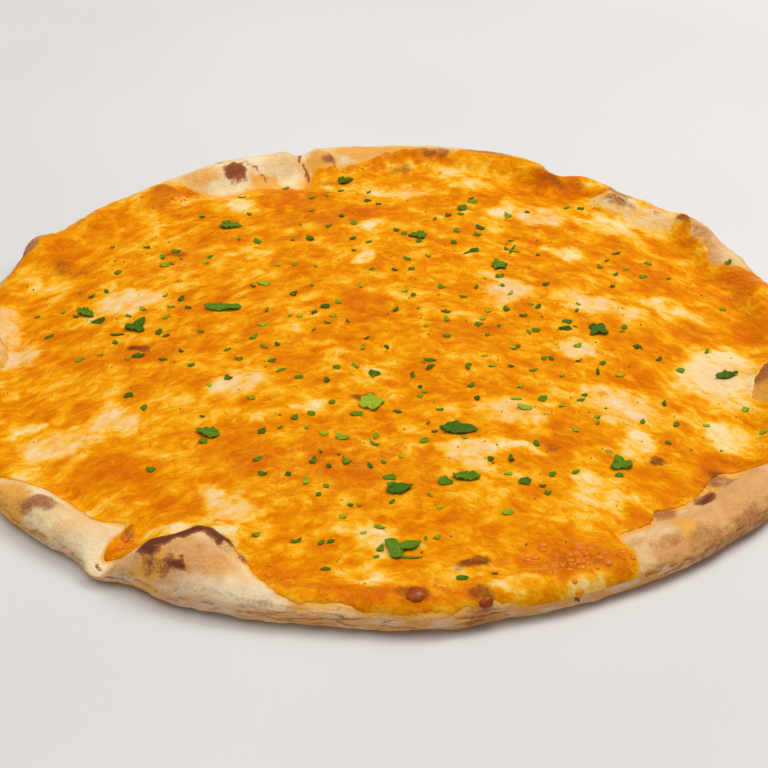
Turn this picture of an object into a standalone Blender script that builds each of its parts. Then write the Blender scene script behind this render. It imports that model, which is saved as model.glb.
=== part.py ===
"""A large thin cheese pizza, in metres with +Z up and its middle over the origin.

The crust is a baked dough disc with an uneven rim: bare puffed lobes, blisters, a fold and a
crack. Melted cheese lies on it and runs close to the edge between the lobes. Chopped parsley is
strewn on top: the small flakes are fused to the cheese, and the larger leaves lie loose on it.
"""

import math
import random
from typing import NamedTuple

import bmesh
import bpy
from mathutils import Matrix, Vector, noise
from mathutils.bvhtree import BVHTree

# Driving sizes of the whole
PIZZA_RADIUS = 0.198
DOUGH_FLOOR = 0.0042
CHEESE_THICKNESS = 0.0032
CHEESE_EDGE_THICKNESS = 0.0009
CHEESE_EDGE_TAPER = 0.0128
GAP = 0.0003

# Rim section: low where cheese runs over it, each lobe below states its own height
RIM_LOW_HEIGHT = 0.0112
RIM_LOW_SETBACK = 0.0065
RIM_LOBE_SETBACK = 0.0100
RIM_SLOPE_WIDTH = 0.0170
RIM_WIDEST_SHARE = 0.42
RIM_UNDERCUT = 0.0090
CHEESE_MARGIN = 0.0040

# Mesh fineness: columns round the edge, and the rings of each zone as shares of its width
COLUMNS = 160
CHEESE_RINGS = (
    (1.000, 1), (0.968, 1), (0.925, 1), (0.865, 2), (0.790, 2), (0.710, 2), (0.620, 2),
    (0.520, 4), (0.420, 4), (0.320, 4), (0.215, 8), (0.105, 16),
)
RIM_STEPS = (0.22, 0.42, 0.62, 0.82, 1.00)
UNDERSIDE_TURNS = (35, 65, 90)
SHARP_ANGLE = 50

# Waves round the edge: how many go round, their height and their phase
OUTLINE_WAVES = ((7, 0.0006, 0.4), (13, 0.0005, 1.9), (23, 0.0004, 4.1))
CHEESE_EDGE_WAVES = ((19, 0.0010, 2.2), (37, 0.0011, 0.7))
COVERED_WAVE_SHARE = 0.4

# Waves of the faces: the size of a wave, its height and the layer of noise it is read from
DOUGH_WAVE = (0.030, 0.0006, 1.5)
CHEESE_WAVE = (0.024, 0.0007, 7.5)

# Colours, as linear red, green and blue
DOUGH_COLOUR = (0.74, 0.52, 0.28)
CHEESE_COLOUR = (0.86, 0.38, 0.05)
PARSLEY_COLOUR = (0.08, 0.22, 0.02)
DOUGH_ROUGHNESS = 0.75
CHEESE_ROUGHNESS = 0.40
PARSLEY_ROUGHNESS = 0.55

# Parsley
FLAKE_SEED = 12
FLAKE_COUNT = 92
FLAKE_LENGTH = (0.0038, 0.0062)
FLAKE_SIDES = 6
FLAKE_UNEVENNESS = (0.75, 1.0)
FLAKE_WIDTH_SHARE = 0.55
FLAKE_TOP_SHARE = 0.88
FLAKE_PROUD = 0.0007
FLAKE_SUNK = 0.0006
FLAKE_SPACING = 0.0075
LEAF_THICKNESS = 0.0005
LEAF_CURL = 0.0009
LEAF_RIM_POINTS = 14
LEAF_INNER_SHARE = 0.5


class Swell(NamedTuple):
    """A place where the outline leaves the plain circle, outwards or, if negative, inwards."""

    angle: float
    spread: float
    reach: float


class Lobe(NamedTuple):
    """An arc in degrees where the dough puffed up, with how much stays bare and its height.

    It starts and ends over a fade in degrees, since the cheese's edge turns in and out slowly.
    """

    start: float
    end: float
    bare_width: float
    height: float
    fade_in: float
    fade_out: float


class Blister(NamedTuple):
    """A dome on the dough, its centre, its two half sizes, its heading and its height."""

    x: float
    y: float
    along: float
    across: float
    heading: float
    height: float


class Groove(NamedTuple):
    """A fold or crack that runs in from the edge, to a radius, with its depth."""

    angle: float
    spread: float
    inner_radius: float
    depth: float


class Leaf(NamedTuple):
    """A parsley leaf on the cheese: its centre, length, width, heading in degrees and its lobes.

    One lobe makes a wedge with its point at the heading, and more make a torn or notched leaf.
    """

    x: float
    y: float
    length: float
    width: float
    heading: float
    lobes: int
    lobe_depth: float


class Pinch(NamedTuple):
    """A place where a pinch of chopped parsley fell, its spread and its share of the flakes."""

    x: float
    y: float
    spread: float
    share: float


SWELLS = (
    Swell(12, 7.0, 0.0018),
    Swell(25, 4.0, -0.0014),
    Swell(33, 2.5, 0.0030),
    Swell(45.5, 2.6, -0.0070),
    Swell(58.5, 3.0, -0.0105),
    Swell(76, 14.0, 0.0030),
    Swell(92, 60.0, 0.0028),
    Swell(104.7, 1.4, -0.0016),
    Swell(111, 12.0, -0.0022),
    Swell(127.5, 2.5, 0.0030),
    Swell(134, 6.0, -0.0030),
    Swell(155.5, 3.2, 0.0060),
    Swell(221, 13.0, 0.0046),
    Swell(236.2, 2.4, 0.0052),
    Swell(247, 9.0, 0.0020),
    Swell(264, 7.0, -0.0016),
    Swell(298, 14.0, 0.0018),
    Swell(322, 15.0, 0.0090),
)

LOBES = (
    Lobe(2, 13, 0.000, 0.0148, 3.5, 3.5),
    Lobe(17, 30, 0.012, 0.0156, 3.5, 3.5),
    Lobe(41, 49, 0.008, 0.0130, 3.0, 3.0),
    Lobe(62, 90, 0.004, 0.0138, 3.5, 3.0),
    Lobe(92, 103, 0.014, 0.0143, 4.0, 2.5),
    Lobe(105.2, 126, 0.026, 0.0150, 2.5, 5.0),
    Lobe(129, 149, 0.000, 0.0136, 4.0, 3.0),
    Lobe(152, 161, 0.006, 0.0145, 2.5, 2.5),
    Lobe(180, 197, 0.014, 0.0130, 4.5, 4.5),
    Lobe(218, 233, 0.017, 0.0132, 4.0, 2.2),
    Lobe(231.5, 237.5, 0.015, 0.0112, 2.0, 2.0),
    Lobe(240, 255, 0.028, 0.0138, 1.8, 6.5),
    Lobe(301.5, 327, 0.024, 0.0134, 2.4, 3.0),
    Lobe(339, 351, 0.018, 0.0126, 4.0, 4.0),
)

BLISTERS = (
    Blister(-0.080, -0.167, 0.022, 0.012, 6, 0.0040),
    Blister(-0.070, -0.156, 0.016, 0.0125, 5, 0.0115),
    Blister(0.177, -0.046, 0.019, 0.016, 78, 0.0075),
    Blister(-0.179, 0.072, 0.014, 0.009, 62, 0.0030),
    Blister(-0.081, 0.160, 0.014, 0.010, 12, 0.0040),
    Blister(0.164, 0.099, 0.015, 0.010, 122, 0.0042),
    Blister(0.130, 0.132, 0.010, 0.008, 135, 0.0030),
    Blister(0.092, 0.160, 0.011, 0.007, 150, 0.0032),
    Blister(-0.024, 0.175, 0.013, 0.008, 4, 0.0028),
    Blister(-0.139, -0.131, 0.012, 0.008, 136, 0.0022),
    Blister(0.142, -0.116, 0.013, 0.010, -40, 0.0030),
    Blister(0.113, -0.139, 0.011, 0.008, -28, 0.0024),
    Blister(0.037, -0.170, 0.010, 0.007, 0, 0.0014),
    Blister(0.012, -0.186, 0.008, 0.006, 0, 0.0018),
    Blister(0.039, -0.190, 0.008, 0.006, 0, 0.0016),
)

GROOVES = (
    Groove(236.6, 1.9, 0.164, 0.0056),
    Groove(104.3, 1.5, 0.160, 0.0022),
    Groove(59.0, 2.0, 0.176, 0.0026),
)

LEAVES = (
    Leaf(0.0305, -0.0770, 0.0220, 0.0105, 352, 1, 0.22),
    Leaf(-0.0050, -0.0575, 0.0120, 0.0125, 10, 5, 0.06),
    Leaf(0.0070, -0.1565, 0.0190, 0.0130, 15, 3, 0.26),
    Leaf(-0.1190, 0.0060, 0.0150, 0.0110, 65, 3, 0.20),
    Leaf(-0.0785, 0.0230, 0.0175, 0.0085, 172, 2, 0.16),
    Leaf(-0.1470, 0.0200, 0.0160, 0.0068, 318, 1, 0.20),
    Leaf(-0.0215, 0.1600, 0.0120, 0.0085, 30, 3, 0.20),
    Leaf(-0.0830, 0.1065, 0.0150, 0.0085, 5, 3, 0.16),
    Leaf(0.1045, 0.0035, 0.0120, 0.0105, 50, 4, 0.12),
    Leaf(0.1020, -0.1020, 0.0130, 0.0105, 100, 3, 0.22),
    Leaf(0.0060, -0.1195, 0.0150, 0.0085, 15, 1, 0.20),
    Leaf(0.0355, -0.1110, 0.0130, 0.0075, 170, 2, 0.14),
    Leaf(0.1600, -0.0380, 0.0130, 0.0060, 185, 1, 0.20),
    Leaf(0.0605, 0.0655, 0.0110, 0.0100, 30, 5, 0.18),
    Leaf(0.0195, 0.0960, 0.0135, 0.0080, 168, 3, 0.20),
    Leaf(-0.0760, -0.0795, 0.0110, 0.0080, 345, 2, 0.10),
)

PINCHES = (
    Pinch(-0.020, -0.075, 0.060, 0.30),
    Pinch(-0.115, 0.030, 0.040, 0.16),
    Pinch(0.050, 0.075, 0.052, 0.22),
    Pinch(0.095, -0.060, 0.045, 0.14),
    Pinch(-0.035, 0.085, 0.045, 0.12),
    Pinch(0.085, 0.015, 0.030, 0.06),
)


def smooth(share):
    """Return an eased share that runs from 0 to 1 and stays there outside that range."""
    share = min(1.0, max(0.0, share))
    return share * share * (3.0 - 2.0 * share)


def turn_between(angle, other):
    """Return the smallest signed turn in degrees from one direction to another."""
    return (angle - other + 180.0) % 360.0 - 180.0


def bell(offset, spread):
    """Return a smooth bump of height 1 at no offset."""
    return math.exp(-((offset / spread) ** 2))


def wave(x, y, kind):
    """Return the relief at a point of one kind of wave, given as its size, height and layer."""
    size, height, layer = kind
    return height * noise.noise(Vector((x / size, y / size, layer)))


def outline_radius(angle):
    """Return the outer radius of the pizza in a direction."""
    radius = PIZZA_RADIUS
    for swell in SWELLS:
        radius += swell.reach * bell(turn_between(angle, swell.angle), swell.spread)
    for count, height, phase in OUTLINE_WAVES:
        radius += height * math.sin(count * math.radians(angle) + phase)
    return radius


def lobe_share(lobe, angle):
    """Return how far a direction lies within a lobe, from 0 to 1."""
    offset = turn_between(angle, 0.5 * (lobe.start + lobe.end))
    half_width = 0.5 * (lobe.end - lobe.start)
    fade = lobe.fade_in if offset < 0.0 else lobe.fade_out
    return smooth(0.5 + 0.5 * (half_width - abs(offset)) / fade)


def cheese_radius(angle):
    """Return how far out the cheese reaches in a direction."""
    margin = CHEESE_MARGIN
    bare = 0.0
    for lobe in LOBES:
        share = lobe_share(lobe, angle)
        margin += lobe.bare_width * share
        bare = max(bare, share)
    strength = COVERED_WAVE_SHARE + (1.0 - COVERED_WAVE_SHARE) * bare
    for count, height, phase in CHEESE_EDGE_WAVES:
        margin += height * strength * math.sin(count * math.radians(angle) + phase)
    return outline_radius(angle) - margin


def rim_height(angle):
    """Return the height of the rim's crest in a direction."""
    height = RIM_LOW_HEIGHT
    for lobe in LOBES:
        height += (lobe.height - RIM_LOW_HEIGHT) * lobe_share(lobe, angle)
    return height


def rim_setback(angle):
    """Return how far the rim's crest lies inside the outline in a direction."""
    share = max(lobe_share(lobe, angle) for lobe in LOBES)
    return RIM_LOW_SETBACK + (RIM_LOBE_SETBACK - RIM_LOW_SETBACK) * share


def blister_height(x, y):
    """Return how far the blisters raise the dough at a point."""
    height = 0.0
    for blister in BLISTERS:
        heading = math.radians(blister.heading)
        east = x - blister.x
        north = y - blister.y
        along = east * math.cos(heading) + north * math.sin(heading)
        across = north * math.cos(heading) - east * math.sin(heading)
        offset = math.hypot(along / blister.along, across / blister.across)
        height += blister.height * bell(offset, 1.0)
    return height


def groove_depth(radius, angle):
    """Return how deep the fold and the cracks cut into the dough at a point."""
    depth = 0.0
    for groove in GROOVES:
        run = smooth((radius - groove.inner_radius) / (PIZZA_RADIUS - groove.inner_radius))
        depth += groove.depth * run * bell(turn_between(angle, groove.angle), groove.spread)
    return depth


def dough_top(radius, angle):
    """Return the height of the dough's upper face at a point."""
    edge = outline_radius(angle)
    setback = rim_setback(angle)
    crest = edge - setback
    height = rim_height(angle)
    x = radius * math.cos(math.radians(angle))
    y = radius * math.sin(math.radians(angle))
    relief = wave(x, y, DOUGH_WAVE) + blister_height(x, y) - groove_depth(radius, angle)
    if radius <= crest:
        climb = smooth((radius - crest + RIM_SLOPE_WIDTH) / RIM_SLOPE_WIDTH)
        return DOUGH_FLOOR + (height - DOUGH_FLOOR) * climb + relief
    widest = RIM_WIDEST_SHARE * height
    fall = math.sqrt(max(0.0, 1.0 - ((radius - crest) / setback) ** 2))
    return widest + (height + relief - widest) * fall


def cheese_thickness(radius, angle):
    """Return the thickness of the cheese at a point, thinner towards its edge."""
    x = radius * math.cos(math.radians(angle))
    y = radius * math.sin(math.radians(angle))
    full = CHEESE_THICKNESS + wave(x, y, CHEESE_WAVE)
    body = smooth((cheese_radius(angle) - radius) / CHEESE_EDGE_TAPER)
    return CHEESE_EDGE_THICKNESS + (full - CHEESE_EDGE_THICKNESS) * body


def ring_angles(skip):
    """Return the directions of a ring that keeps one in so many of the edge's columns."""
    return [360.0 * column / COLUMNS for column in range(0, COLUMNS, skip)]


def ring(bm, angles, radius_at, height_at):
    """Add a closed ring of vertices whose radius and height follow two functions."""
    vertices = []
    for angle in angles:
        radius = radius_at(angle)
        turn = math.radians(angle)
        height = height_at(radius, angle)
        vertices.append(bm.verts.new((radius * math.cos(turn), radius * math.sin(turn), height)))
    return vertices


def join_rings(bm, outer, inner):
    """Fill between two rings with triangles, where the inner may have half the vertices."""
    count = len(outer)
    if len(inner) == count:
        for near in range(count):
            far = (near + 1) % count
            bm.faces.new((outer[near], outer[far], inner[far]))
            bm.faces.new((outer[near], inner[far], inner[near]))
        return
    for near in range(len(inner)):
        far = (near + 1) % len(inner)
        middle = outer[2 * near + 1]
        bm.faces.new((outer[2 * near], middle, inner[near]))
        bm.faces.new((middle, inner[far], inner[near]))
        bm.faces.new((middle, outer[(2 * near + 2) % count], inner[far]))


def covered_face(bm, height_at):
    """Add the face inside the cheese's edge as rings that thin out inwards, and return its rim."""
    rings = []
    for share, skip in CHEESE_RINGS:
        rings.append(ring(bm, ring_angles(skip), lambda angle: share * cheese_radius(angle), height_at))
    for outer, inner in zip(rings, rings[1:]):
        join_rings(bm, outer, inner)
    middle = bm.verts.new((0.0, 0.0, height_at(0.0, 0.0)))
    last = rings[-1]
    for near in range(len(last)):
        bm.faces.new((last[near], last[(near + 1) % len(last)], middle))
    return rings[0]


def food_material(name, colour, roughness):
    """Make a plain material of a colour and a roughness, without any metal in it."""
    material = bpy.data.materials.new(name)
    material.use_nodes = True
    shader = material.node_tree.nodes["Principled BSDF"]
    shader.inputs["Base Color"].default_value = (*colour, 1.0)
    shader.inputs["Roughness"].default_value = roughness
    shader.inputs["Metallic"].default_value = 0.0
    return material


def finished_object(name, bm, material):
    """Turn a mesh under construction into a smooth object of a material."""
    bmesh.ops.recalc_face_normals(bm, faces=bm.faces)
    mesh = bpy.data.meshes.new(name)
    bm.to_mesh(mesh)
    bm.free()
    mesh.shade_smooth()
    mesh.set_sharp_from_angle(angle=math.radians(SHARP_ANGLE))
    mesh.materials.append(material)
    piece = bpy.data.objects.new(name, mesh)
    bpy.context.scene.collection.objects.link(piece)
    return piece


def build_crust():
    """Build the dough: the face under the cheese, the bare rim, its underside and flat base."""
    bm = bmesh.new()
    previous = covered_face(bm, dough_top)
    angles = ring_angles(1)
    for step in RIM_STEPS:
        reach = math.sin(0.5 * math.pi * step)
        following = ring(
            bm,
            angles,
            lambda angle: cheese_radius(angle) + (outline_radius(angle) - cheese_radius(angle)) * reach,
            dough_top,
        )
        join_rings(bm, following, previous)
        previous = following
    for turn in UNDERSIDE_TURNS:
        inset = RIM_UNDERCUT * (1.0 - math.cos(math.radians(turn)))
        lift = RIM_WIDEST_SHARE * (1.0 - math.sin(math.radians(turn)))
        following = ring(
            bm,
            angles,
            lambda angle: outline_radius(angle) - inset,
            lambda radius, angle: lift * rim_height(angle),
        )
        join_rings(bm, following, previous)
        previous = following
    bm.faces.new(previous)
    return finished_object("crust", bm, food_material("baked dough", DOUGH_COLOUR, DOUGH_ROUGHNESS))


def build_cheese():
    """Build the melted cheese, which lies on the dough facet on facet with a small gap."""
    bm = bmesh.new()
    lower = covered_face(bm, lambda radius, angle: dough_top(radius, angle) + GAP)
    upper = covered_face(
        bm, lambda radius, angle: dough_top(radius, angle) + GAP + cheese_thickness(radius, angle)
    )
    join_rings(bm, lower, upper)
    material = food_material("melted cheese", CHEESE_COLOUR, CHEESE_ROUGHNESS)
    return finished_object("cheese", bm, material)


def surface_of(piece):
    """Return a search tree of an object's mesh, for finding its surface from above."""
    bm = bmesh.new()
    bm.from_mesh(piece.data)
    tree = BVHTree.FromBMesh(bm)
    bm.free()
    return tree


def surface_below(tree, x, y):
    """Return the point and the normal of a surface where a plumb line from above meets it."""
    point, normal, _, _ = tree.ray_cast(Vector((x, y, 1.0)), Vector((0.0, 0.0, -1.0)))
    return point, normal


def leaf_reach(leaf, bearing):
    """Return how far a leaf's outline lies from its middle, with its lobes."""
    lobes = 1.0 - leaf.lobe_depth + leaf.lobe_depth * math.cos(leaf.lobes * bearing)
    across = leaf.width / leaf.length
    oval = across / math.hypot(math.sin(bearing), across * math.cos(bearing))
    return 0.5 * leaf.length * lobes * oval


def leaf_ring(bm, leaf, tree, share, skip, lift):
    """Add one ring of a leaf's vertices, laid over the cheese below it."""
    vertices = []
    for index in range(0, LEAF_RIM_POINTS, skip):
        bearing = 2.0 * math.pi * index / LEAF_RIM_POINTS
        reach = share * leaf_reach(leaf, bearing)
        turn = bearing + math.radians(leaf.heading)
        x = leaf.x + reach * math.cos(turn)
        y = leaf.y + reach * math.sin(turn)
        curl = LEAF_CURL * share * (0.5 + 0.5 * math.sin(2.0 * bearing + leaf.heading))
        point, _ = surface_below(tree, x, y)
        vertices.append(bm.verts.new((x, y, point.z + lift + curl)))
    return vertices


def leaf_face(bm, leaf, tree, lift):
    """Add one face of a leaf, split into the same triangles on either side, and return its rim."""
    outer = leaf_ring(bm, leaf, tree, 1.0, 1, lift)
    inner = leaf_ring(bm, leaf, tree, LEAF_INNER_SHARE, 2, lift)
    join_rings(bm, outer, inner)
    point, _ = surface_below(tree, leaf.x, leaf.y)
    middle = bm.verts.new((leaf.x, leaf.y, point.z + lift))
    for near in range(len(inner)):
        bm.faces.new((inner[near], inner[(near + 1) % len(inner)], middle))
    return outer


def build_leaf(number, leaf, tree, material):
    """Build one parsley leaf as a thin wavy solid just clear of the cheese."""
    bm = bmesh.new()
    lower = leaf_face(bm, leaf, tree, GAP)
    upper = leaf_face(bm, leaf, tree, GAP + LEAF_THICKNESS)
    join_rings(bm, lower, upper)
    return finished_object(f"parsley_{number:02d}", bm, material)


def clear_of_leaves(x, y, reach):
    """Tell whether a flake of a reach keeps clear of every loose leaf."""
    return all(math.hypot(x - leaf.x, y - leaf.y) > 0.5 * leaf.length + reach for leaf in LEAVES)


def flake_places():
    """Return the places, lengths and headings of the flakes, strewn in pinches by a seeded rule."""
    draw = random.Random(FLAKE_SEED)
    places = []
    for pinch in PINCHES:
        wanted = round(pinch.share * FLAKE_COUNT)
        while wanted:
            x = draw.gauss(pinch.x, pinch.spread)
            y = draw.gauss(pinch.y, pinch.spread)
            length = draw.uniform(*FLAKE_LENGTH)
            heading = draw.uniform(0.0, 360.0)
            angle = math.degrees(math.atan2(y, x))
            inside = math.hypot(x, y) < cheese_radius(angle) - CHEESE_EDGE_TAPER
            apart = all(math.hypot(x - place[0], y - place[1]) > FLAKE_SPACING for place in places)
            if inside and apart and clear_of_leaves(x, y, length):
                places.append((x, y, length, heading))
                wanted -= 1
    return places


def build_flake(name, place, tree, draw, material):
    """Build one chopped flake, a small uneven tile that is pressed into the cheese."""
    x, y, length, heading = place
    point, normal = surface_below(tree, x, y)
    lie = normal.to_track_quat("Z", "Y").to_matrix().to_4x4()
    pose = Matrix.Translation(point) @ lie @ Matrix.Rotation(math.radians(heading), 4, "Z")
    bm = bmesh.new()
    rims = []
    outline = [draw.uniform(*FLAKE_UNEVENNESS) for _ in range(FLAKE_SIDES)]
    for height, size in ((-FLAKE_SUNK, 1.0), (FLAKE_PROUD, FLAKE_TOP_SHARE)):
        rim = []
        for index, share in enumerate(outline):
            bearing = 2.0 * math.pi * index / FLAKE_SIDES
            reach = 0.5 * length * size * share
            along = reach * math.cos(bearing)
            across = FLAKE_WIDTH_SHARE * reach * math.sin(bearing)
            rim.append(bm.verts.new(pose @ Vector((along, across, height))))
        rims.append(rim)
    join_rings(bm, rims[0], rims[1])
    bm.faces.new(rims[0])
    bm.faces.new(rims[1])
    return finished_object(name, bm, material)


def fuse_flakes(cheese, tree, material):
    """Fuse all the flakes to the cheese with one union, and remove the loose ones."""
    draw = random.Random(FLAKE_SEED)
    flakes = bpy.data.collections.new("flakes")
    for number, place in enumerate(flake_places()):
        flake = build_flake(f"flake_{number}", place, tree, draw, material)
        bpy.context.scene.collection.objects.unlink(flake)
        flakes.objects.link(flake)
    union = cheese.modifiers.new("flakes", "BOOLEAN")
    union.operation = "UNION"
    union.operand_type = "COLLECTION"
    union.collection = flakes
    union.solver = "EXACT"
    whole = cheese.evaluated_get(bpy.context.evaluated_depsgraph_get())
    fused = bpy.data.meshes.new_from_object(whole)
    cheese.modifiers.remove(union)
    cheese.data = fused
    for flake in list(flakes.objects):
        bpy.data.objects.remove(flake)
    bpy.data.collections.remove(flakes)
    mend = bmesh.new()
    mend.from_mesh(fused)
    bmesh.ops.triangulate(mend, faces=mend.faces)
    mend.to_mesh(fused)
    mend.free()


def plan_middle():
    """Return the middle of the outline's box, which the origin is moved to."""
    points = []
    for angle in ring_angles(1):
        radius = outline_radius(angle)
        turn = math.radians(angle)
        points.append((radius * math.cos(turn), radius * math.sin(turn)))
    middles = [0.5 * (min(axis) + max(axis)) for axis in zip(*points)]
    return Vector((middles[0], middles[1], 0.0))


def main():
    """Build the whole pizza and set its middle over the origin."""
    for old in list(bpy.data.objects):
        bpy.data.objects.remove(old)
    pieces = [build_crust()]
    cheese = build_cheese()
    pieces.append(cheese)
    tree = surface_of(cheese)
    parsley = food_material("parsley", PARSLEY_COLOUR, PARSLEY_ROUGHNESS)
    for number, leaf in enumerate(LEAVES, start=1):
        pieces.append(build_leaf(number, leaf, tree, parsley))
    fuse_flakes(cheese, tree, parsley)
    shift = Matrix.Translation(-plan_middle())
    for piece in pieces:
        piece.data.transform(shift)


main()
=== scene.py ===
"""The looks of a large thin cheese pizza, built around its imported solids.

The crust, the melted cheese and the parsley are fine meshes that keep the form of the solids
they stand for. Their colours come from marks that are worked out at every vertex, such as
cream patches, scorched crests and oily stains, and from fine grain in the materials.
"""

import logging
import math
import random
from dataclasses import dataclass
from enum import Enum
from functools import cached_property
from typing import NamedTuple, Sequence, Union

import bpy
import numpy as np
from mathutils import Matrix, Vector, noise


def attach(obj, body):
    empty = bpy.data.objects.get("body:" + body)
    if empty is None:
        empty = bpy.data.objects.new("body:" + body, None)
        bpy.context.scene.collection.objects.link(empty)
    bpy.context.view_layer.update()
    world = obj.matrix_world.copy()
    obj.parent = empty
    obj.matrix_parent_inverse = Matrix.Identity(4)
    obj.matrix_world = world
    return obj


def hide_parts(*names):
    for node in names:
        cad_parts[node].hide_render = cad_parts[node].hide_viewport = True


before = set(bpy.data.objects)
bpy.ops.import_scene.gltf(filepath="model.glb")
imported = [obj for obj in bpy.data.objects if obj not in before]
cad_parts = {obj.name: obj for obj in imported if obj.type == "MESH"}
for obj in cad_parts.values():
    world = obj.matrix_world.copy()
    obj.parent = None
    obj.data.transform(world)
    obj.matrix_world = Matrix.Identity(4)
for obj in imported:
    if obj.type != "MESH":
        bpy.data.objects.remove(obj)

LOG = logging.getLogger("pizza")
Array = np.ndarray
Socket = bpy.types.NodeSocket
Feed = Union[Socket, float, tuple]


def smooth(share: Array) -> Array:
    """Return eased shares that run from 0 to 1 and stay there outside that range."""
    share = np.clip(share, 0.0, 1.0)
    return share * share * (3.0 - 2.0 * share)


def rise(value: Array, low: float, high: float) -> Array:
    """Return how far values have risen from a low to a high level, eased."""
    return smooth((value - low) / (high - low))


def bell(offset: Array, spread: float) -> Array:
    """Return smooth bumps of height 1 at no offset."""
    return np.exp(-((offset / spread) ** 2))


def turn_between(angle: Array, other: float) -> Array:
    """Return the smallest signed turns in degrees from one direction to others."""
    return (angle - other + 180.0) % 360.0 - 180.0


def polar(x: Array, y: Array) -> tuple[Array, Array]:
    """Return the radius and the direction in degrees of points in the plan."""
    return np.hypot(x, y), np.degrees(np.arctan2(y, x)) % 360.0


def plan_of(radius: Array, angle: Array) -> tuple[Array, Array]:
    """Return the plan coordinates of points given by radius and direction in degrees."""
    return radius * np.cos(np.radians(angle)), radius * np.sin(np.radians(angle))


def direction(x: float, y: float) -> Array:
    """Return the direction in degrees of one plan point, as an array of one."""
    return np.array([math.degrees(math.atan2(y, x))])


def screen(red: float, green: float, blue: float) -> tuple[float, float, float, float]:
    """Return a colour given as it shows on a screen, 0 to 255, in linear values.

    Args:
        red: the red share, 0 to 255.
        green: the green share, 0 to 255.
        blue: the blue share, 0 to 255.

    Returns:
        Linear red, green, blue and an alpha of 1.
    """
    shares = (red / 255.0, green / 255.0, blue / 255.0)
    linear = [share / 12.92 if share <= 0.04045 else ((share + 0.055) / 1.055) ** 2.4 for share in shares]
    return (*linear, 1.0)


class Swell(NamedTuple):
    """A place where the outline leaves the plain circle, outwards or, if negative, inwards."""

    angle: float
    spread: float
    reach: float


class Lobe(NamedTuple):
    """An arc in degrees where the dough puffed up, with how much stays bare and its height."""

    start: float
    end: float
    bare_width: float
    height: float
    fade_in: float
    fade_out: float


class Blister(NamedTuple):
    """A dome on the dough, its centre, its two half sizes, its heading and its height."""

    x: float
    y: float
    along: float
    across: float
    heading: float
    height: float


class Groove(NamedTuple):
    """A fold or crack that runs in from the edge, to a radius, with its depth."""

    angle: float
    spread: float
    inner_radius: float
    depth: float


class Pinch(NamedTuple):
    """A place where a pinch of chopped parsley fell, its spread and its share of the flakes."""

    x: float
    y: float
    spread: float
    share: float


class LeafTone(Enum):
    """How light the green of a leaf is, from 0 to 1."""

    DARK = 0.1
    MIDDLE = 0.42
    LIGHT = 0.95


class Leaf(NamedTuple):
    """A parsley leaf: its centre, length, width, heading in degrees, lobes, their depth and tone.

    One lobe makes a wedge with its point at the heading, and more make a torn or notched leaf.
    """

    x: float
    y: float
    length: float
    width: float
    heading: float
    lobes: int
    lobe_depth: float
    tone: LeafTone


class Mark(NamedTuple):
    """An oval mark in the plan: its centre, its two half sizes, its heading and its strength."""

    x: float
    y: float
    along: float
    across: float
    heading: float
    strength: float


def ovals(*rows: tuple) -> tuple[Mark, ...]:
    """Return marks from rows of their values, with the places and sizes in millimetres."""
    return tuple(Mark(*(0.001 * size for size in row[:4]), *row[4:]) for row in rows)


def each(kind: type, *rows: tuple) -> tuple:
    """Return one record of a kind for each row of its values."""
    return tuple(kind(*row) for row in rows)


class ScorchLine(NamedTuple):
    """A scorched crest along a row of plan points, with its half width and strength."""

    points: tuple
    width: float
    strength: float


class Toast(NamedTuple):
    """An arc of the rim that the oven browned, its direction, its spread and its strength."""

    angle: float
    spread: float
    strength: float


class BubbleZone(NamedTuple):
    """A place where the cheese bubbled: an oval, how many bubbles and their largest radius."""

    x: float
    y: float
    along: float
    across: float
    heading: float
    count: int
    largest: float


class Stain(Enum):
    """What a mark on the dough is, and the name of the vertex attribute that holds it."""

    CHAR = "char"
    BROWN = "brown"
    # TAN also holds painted shade on the rim's steep outer side.
    TAN = "tan"
    OIL = "oil"
    FLOUR = "flour"


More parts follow.
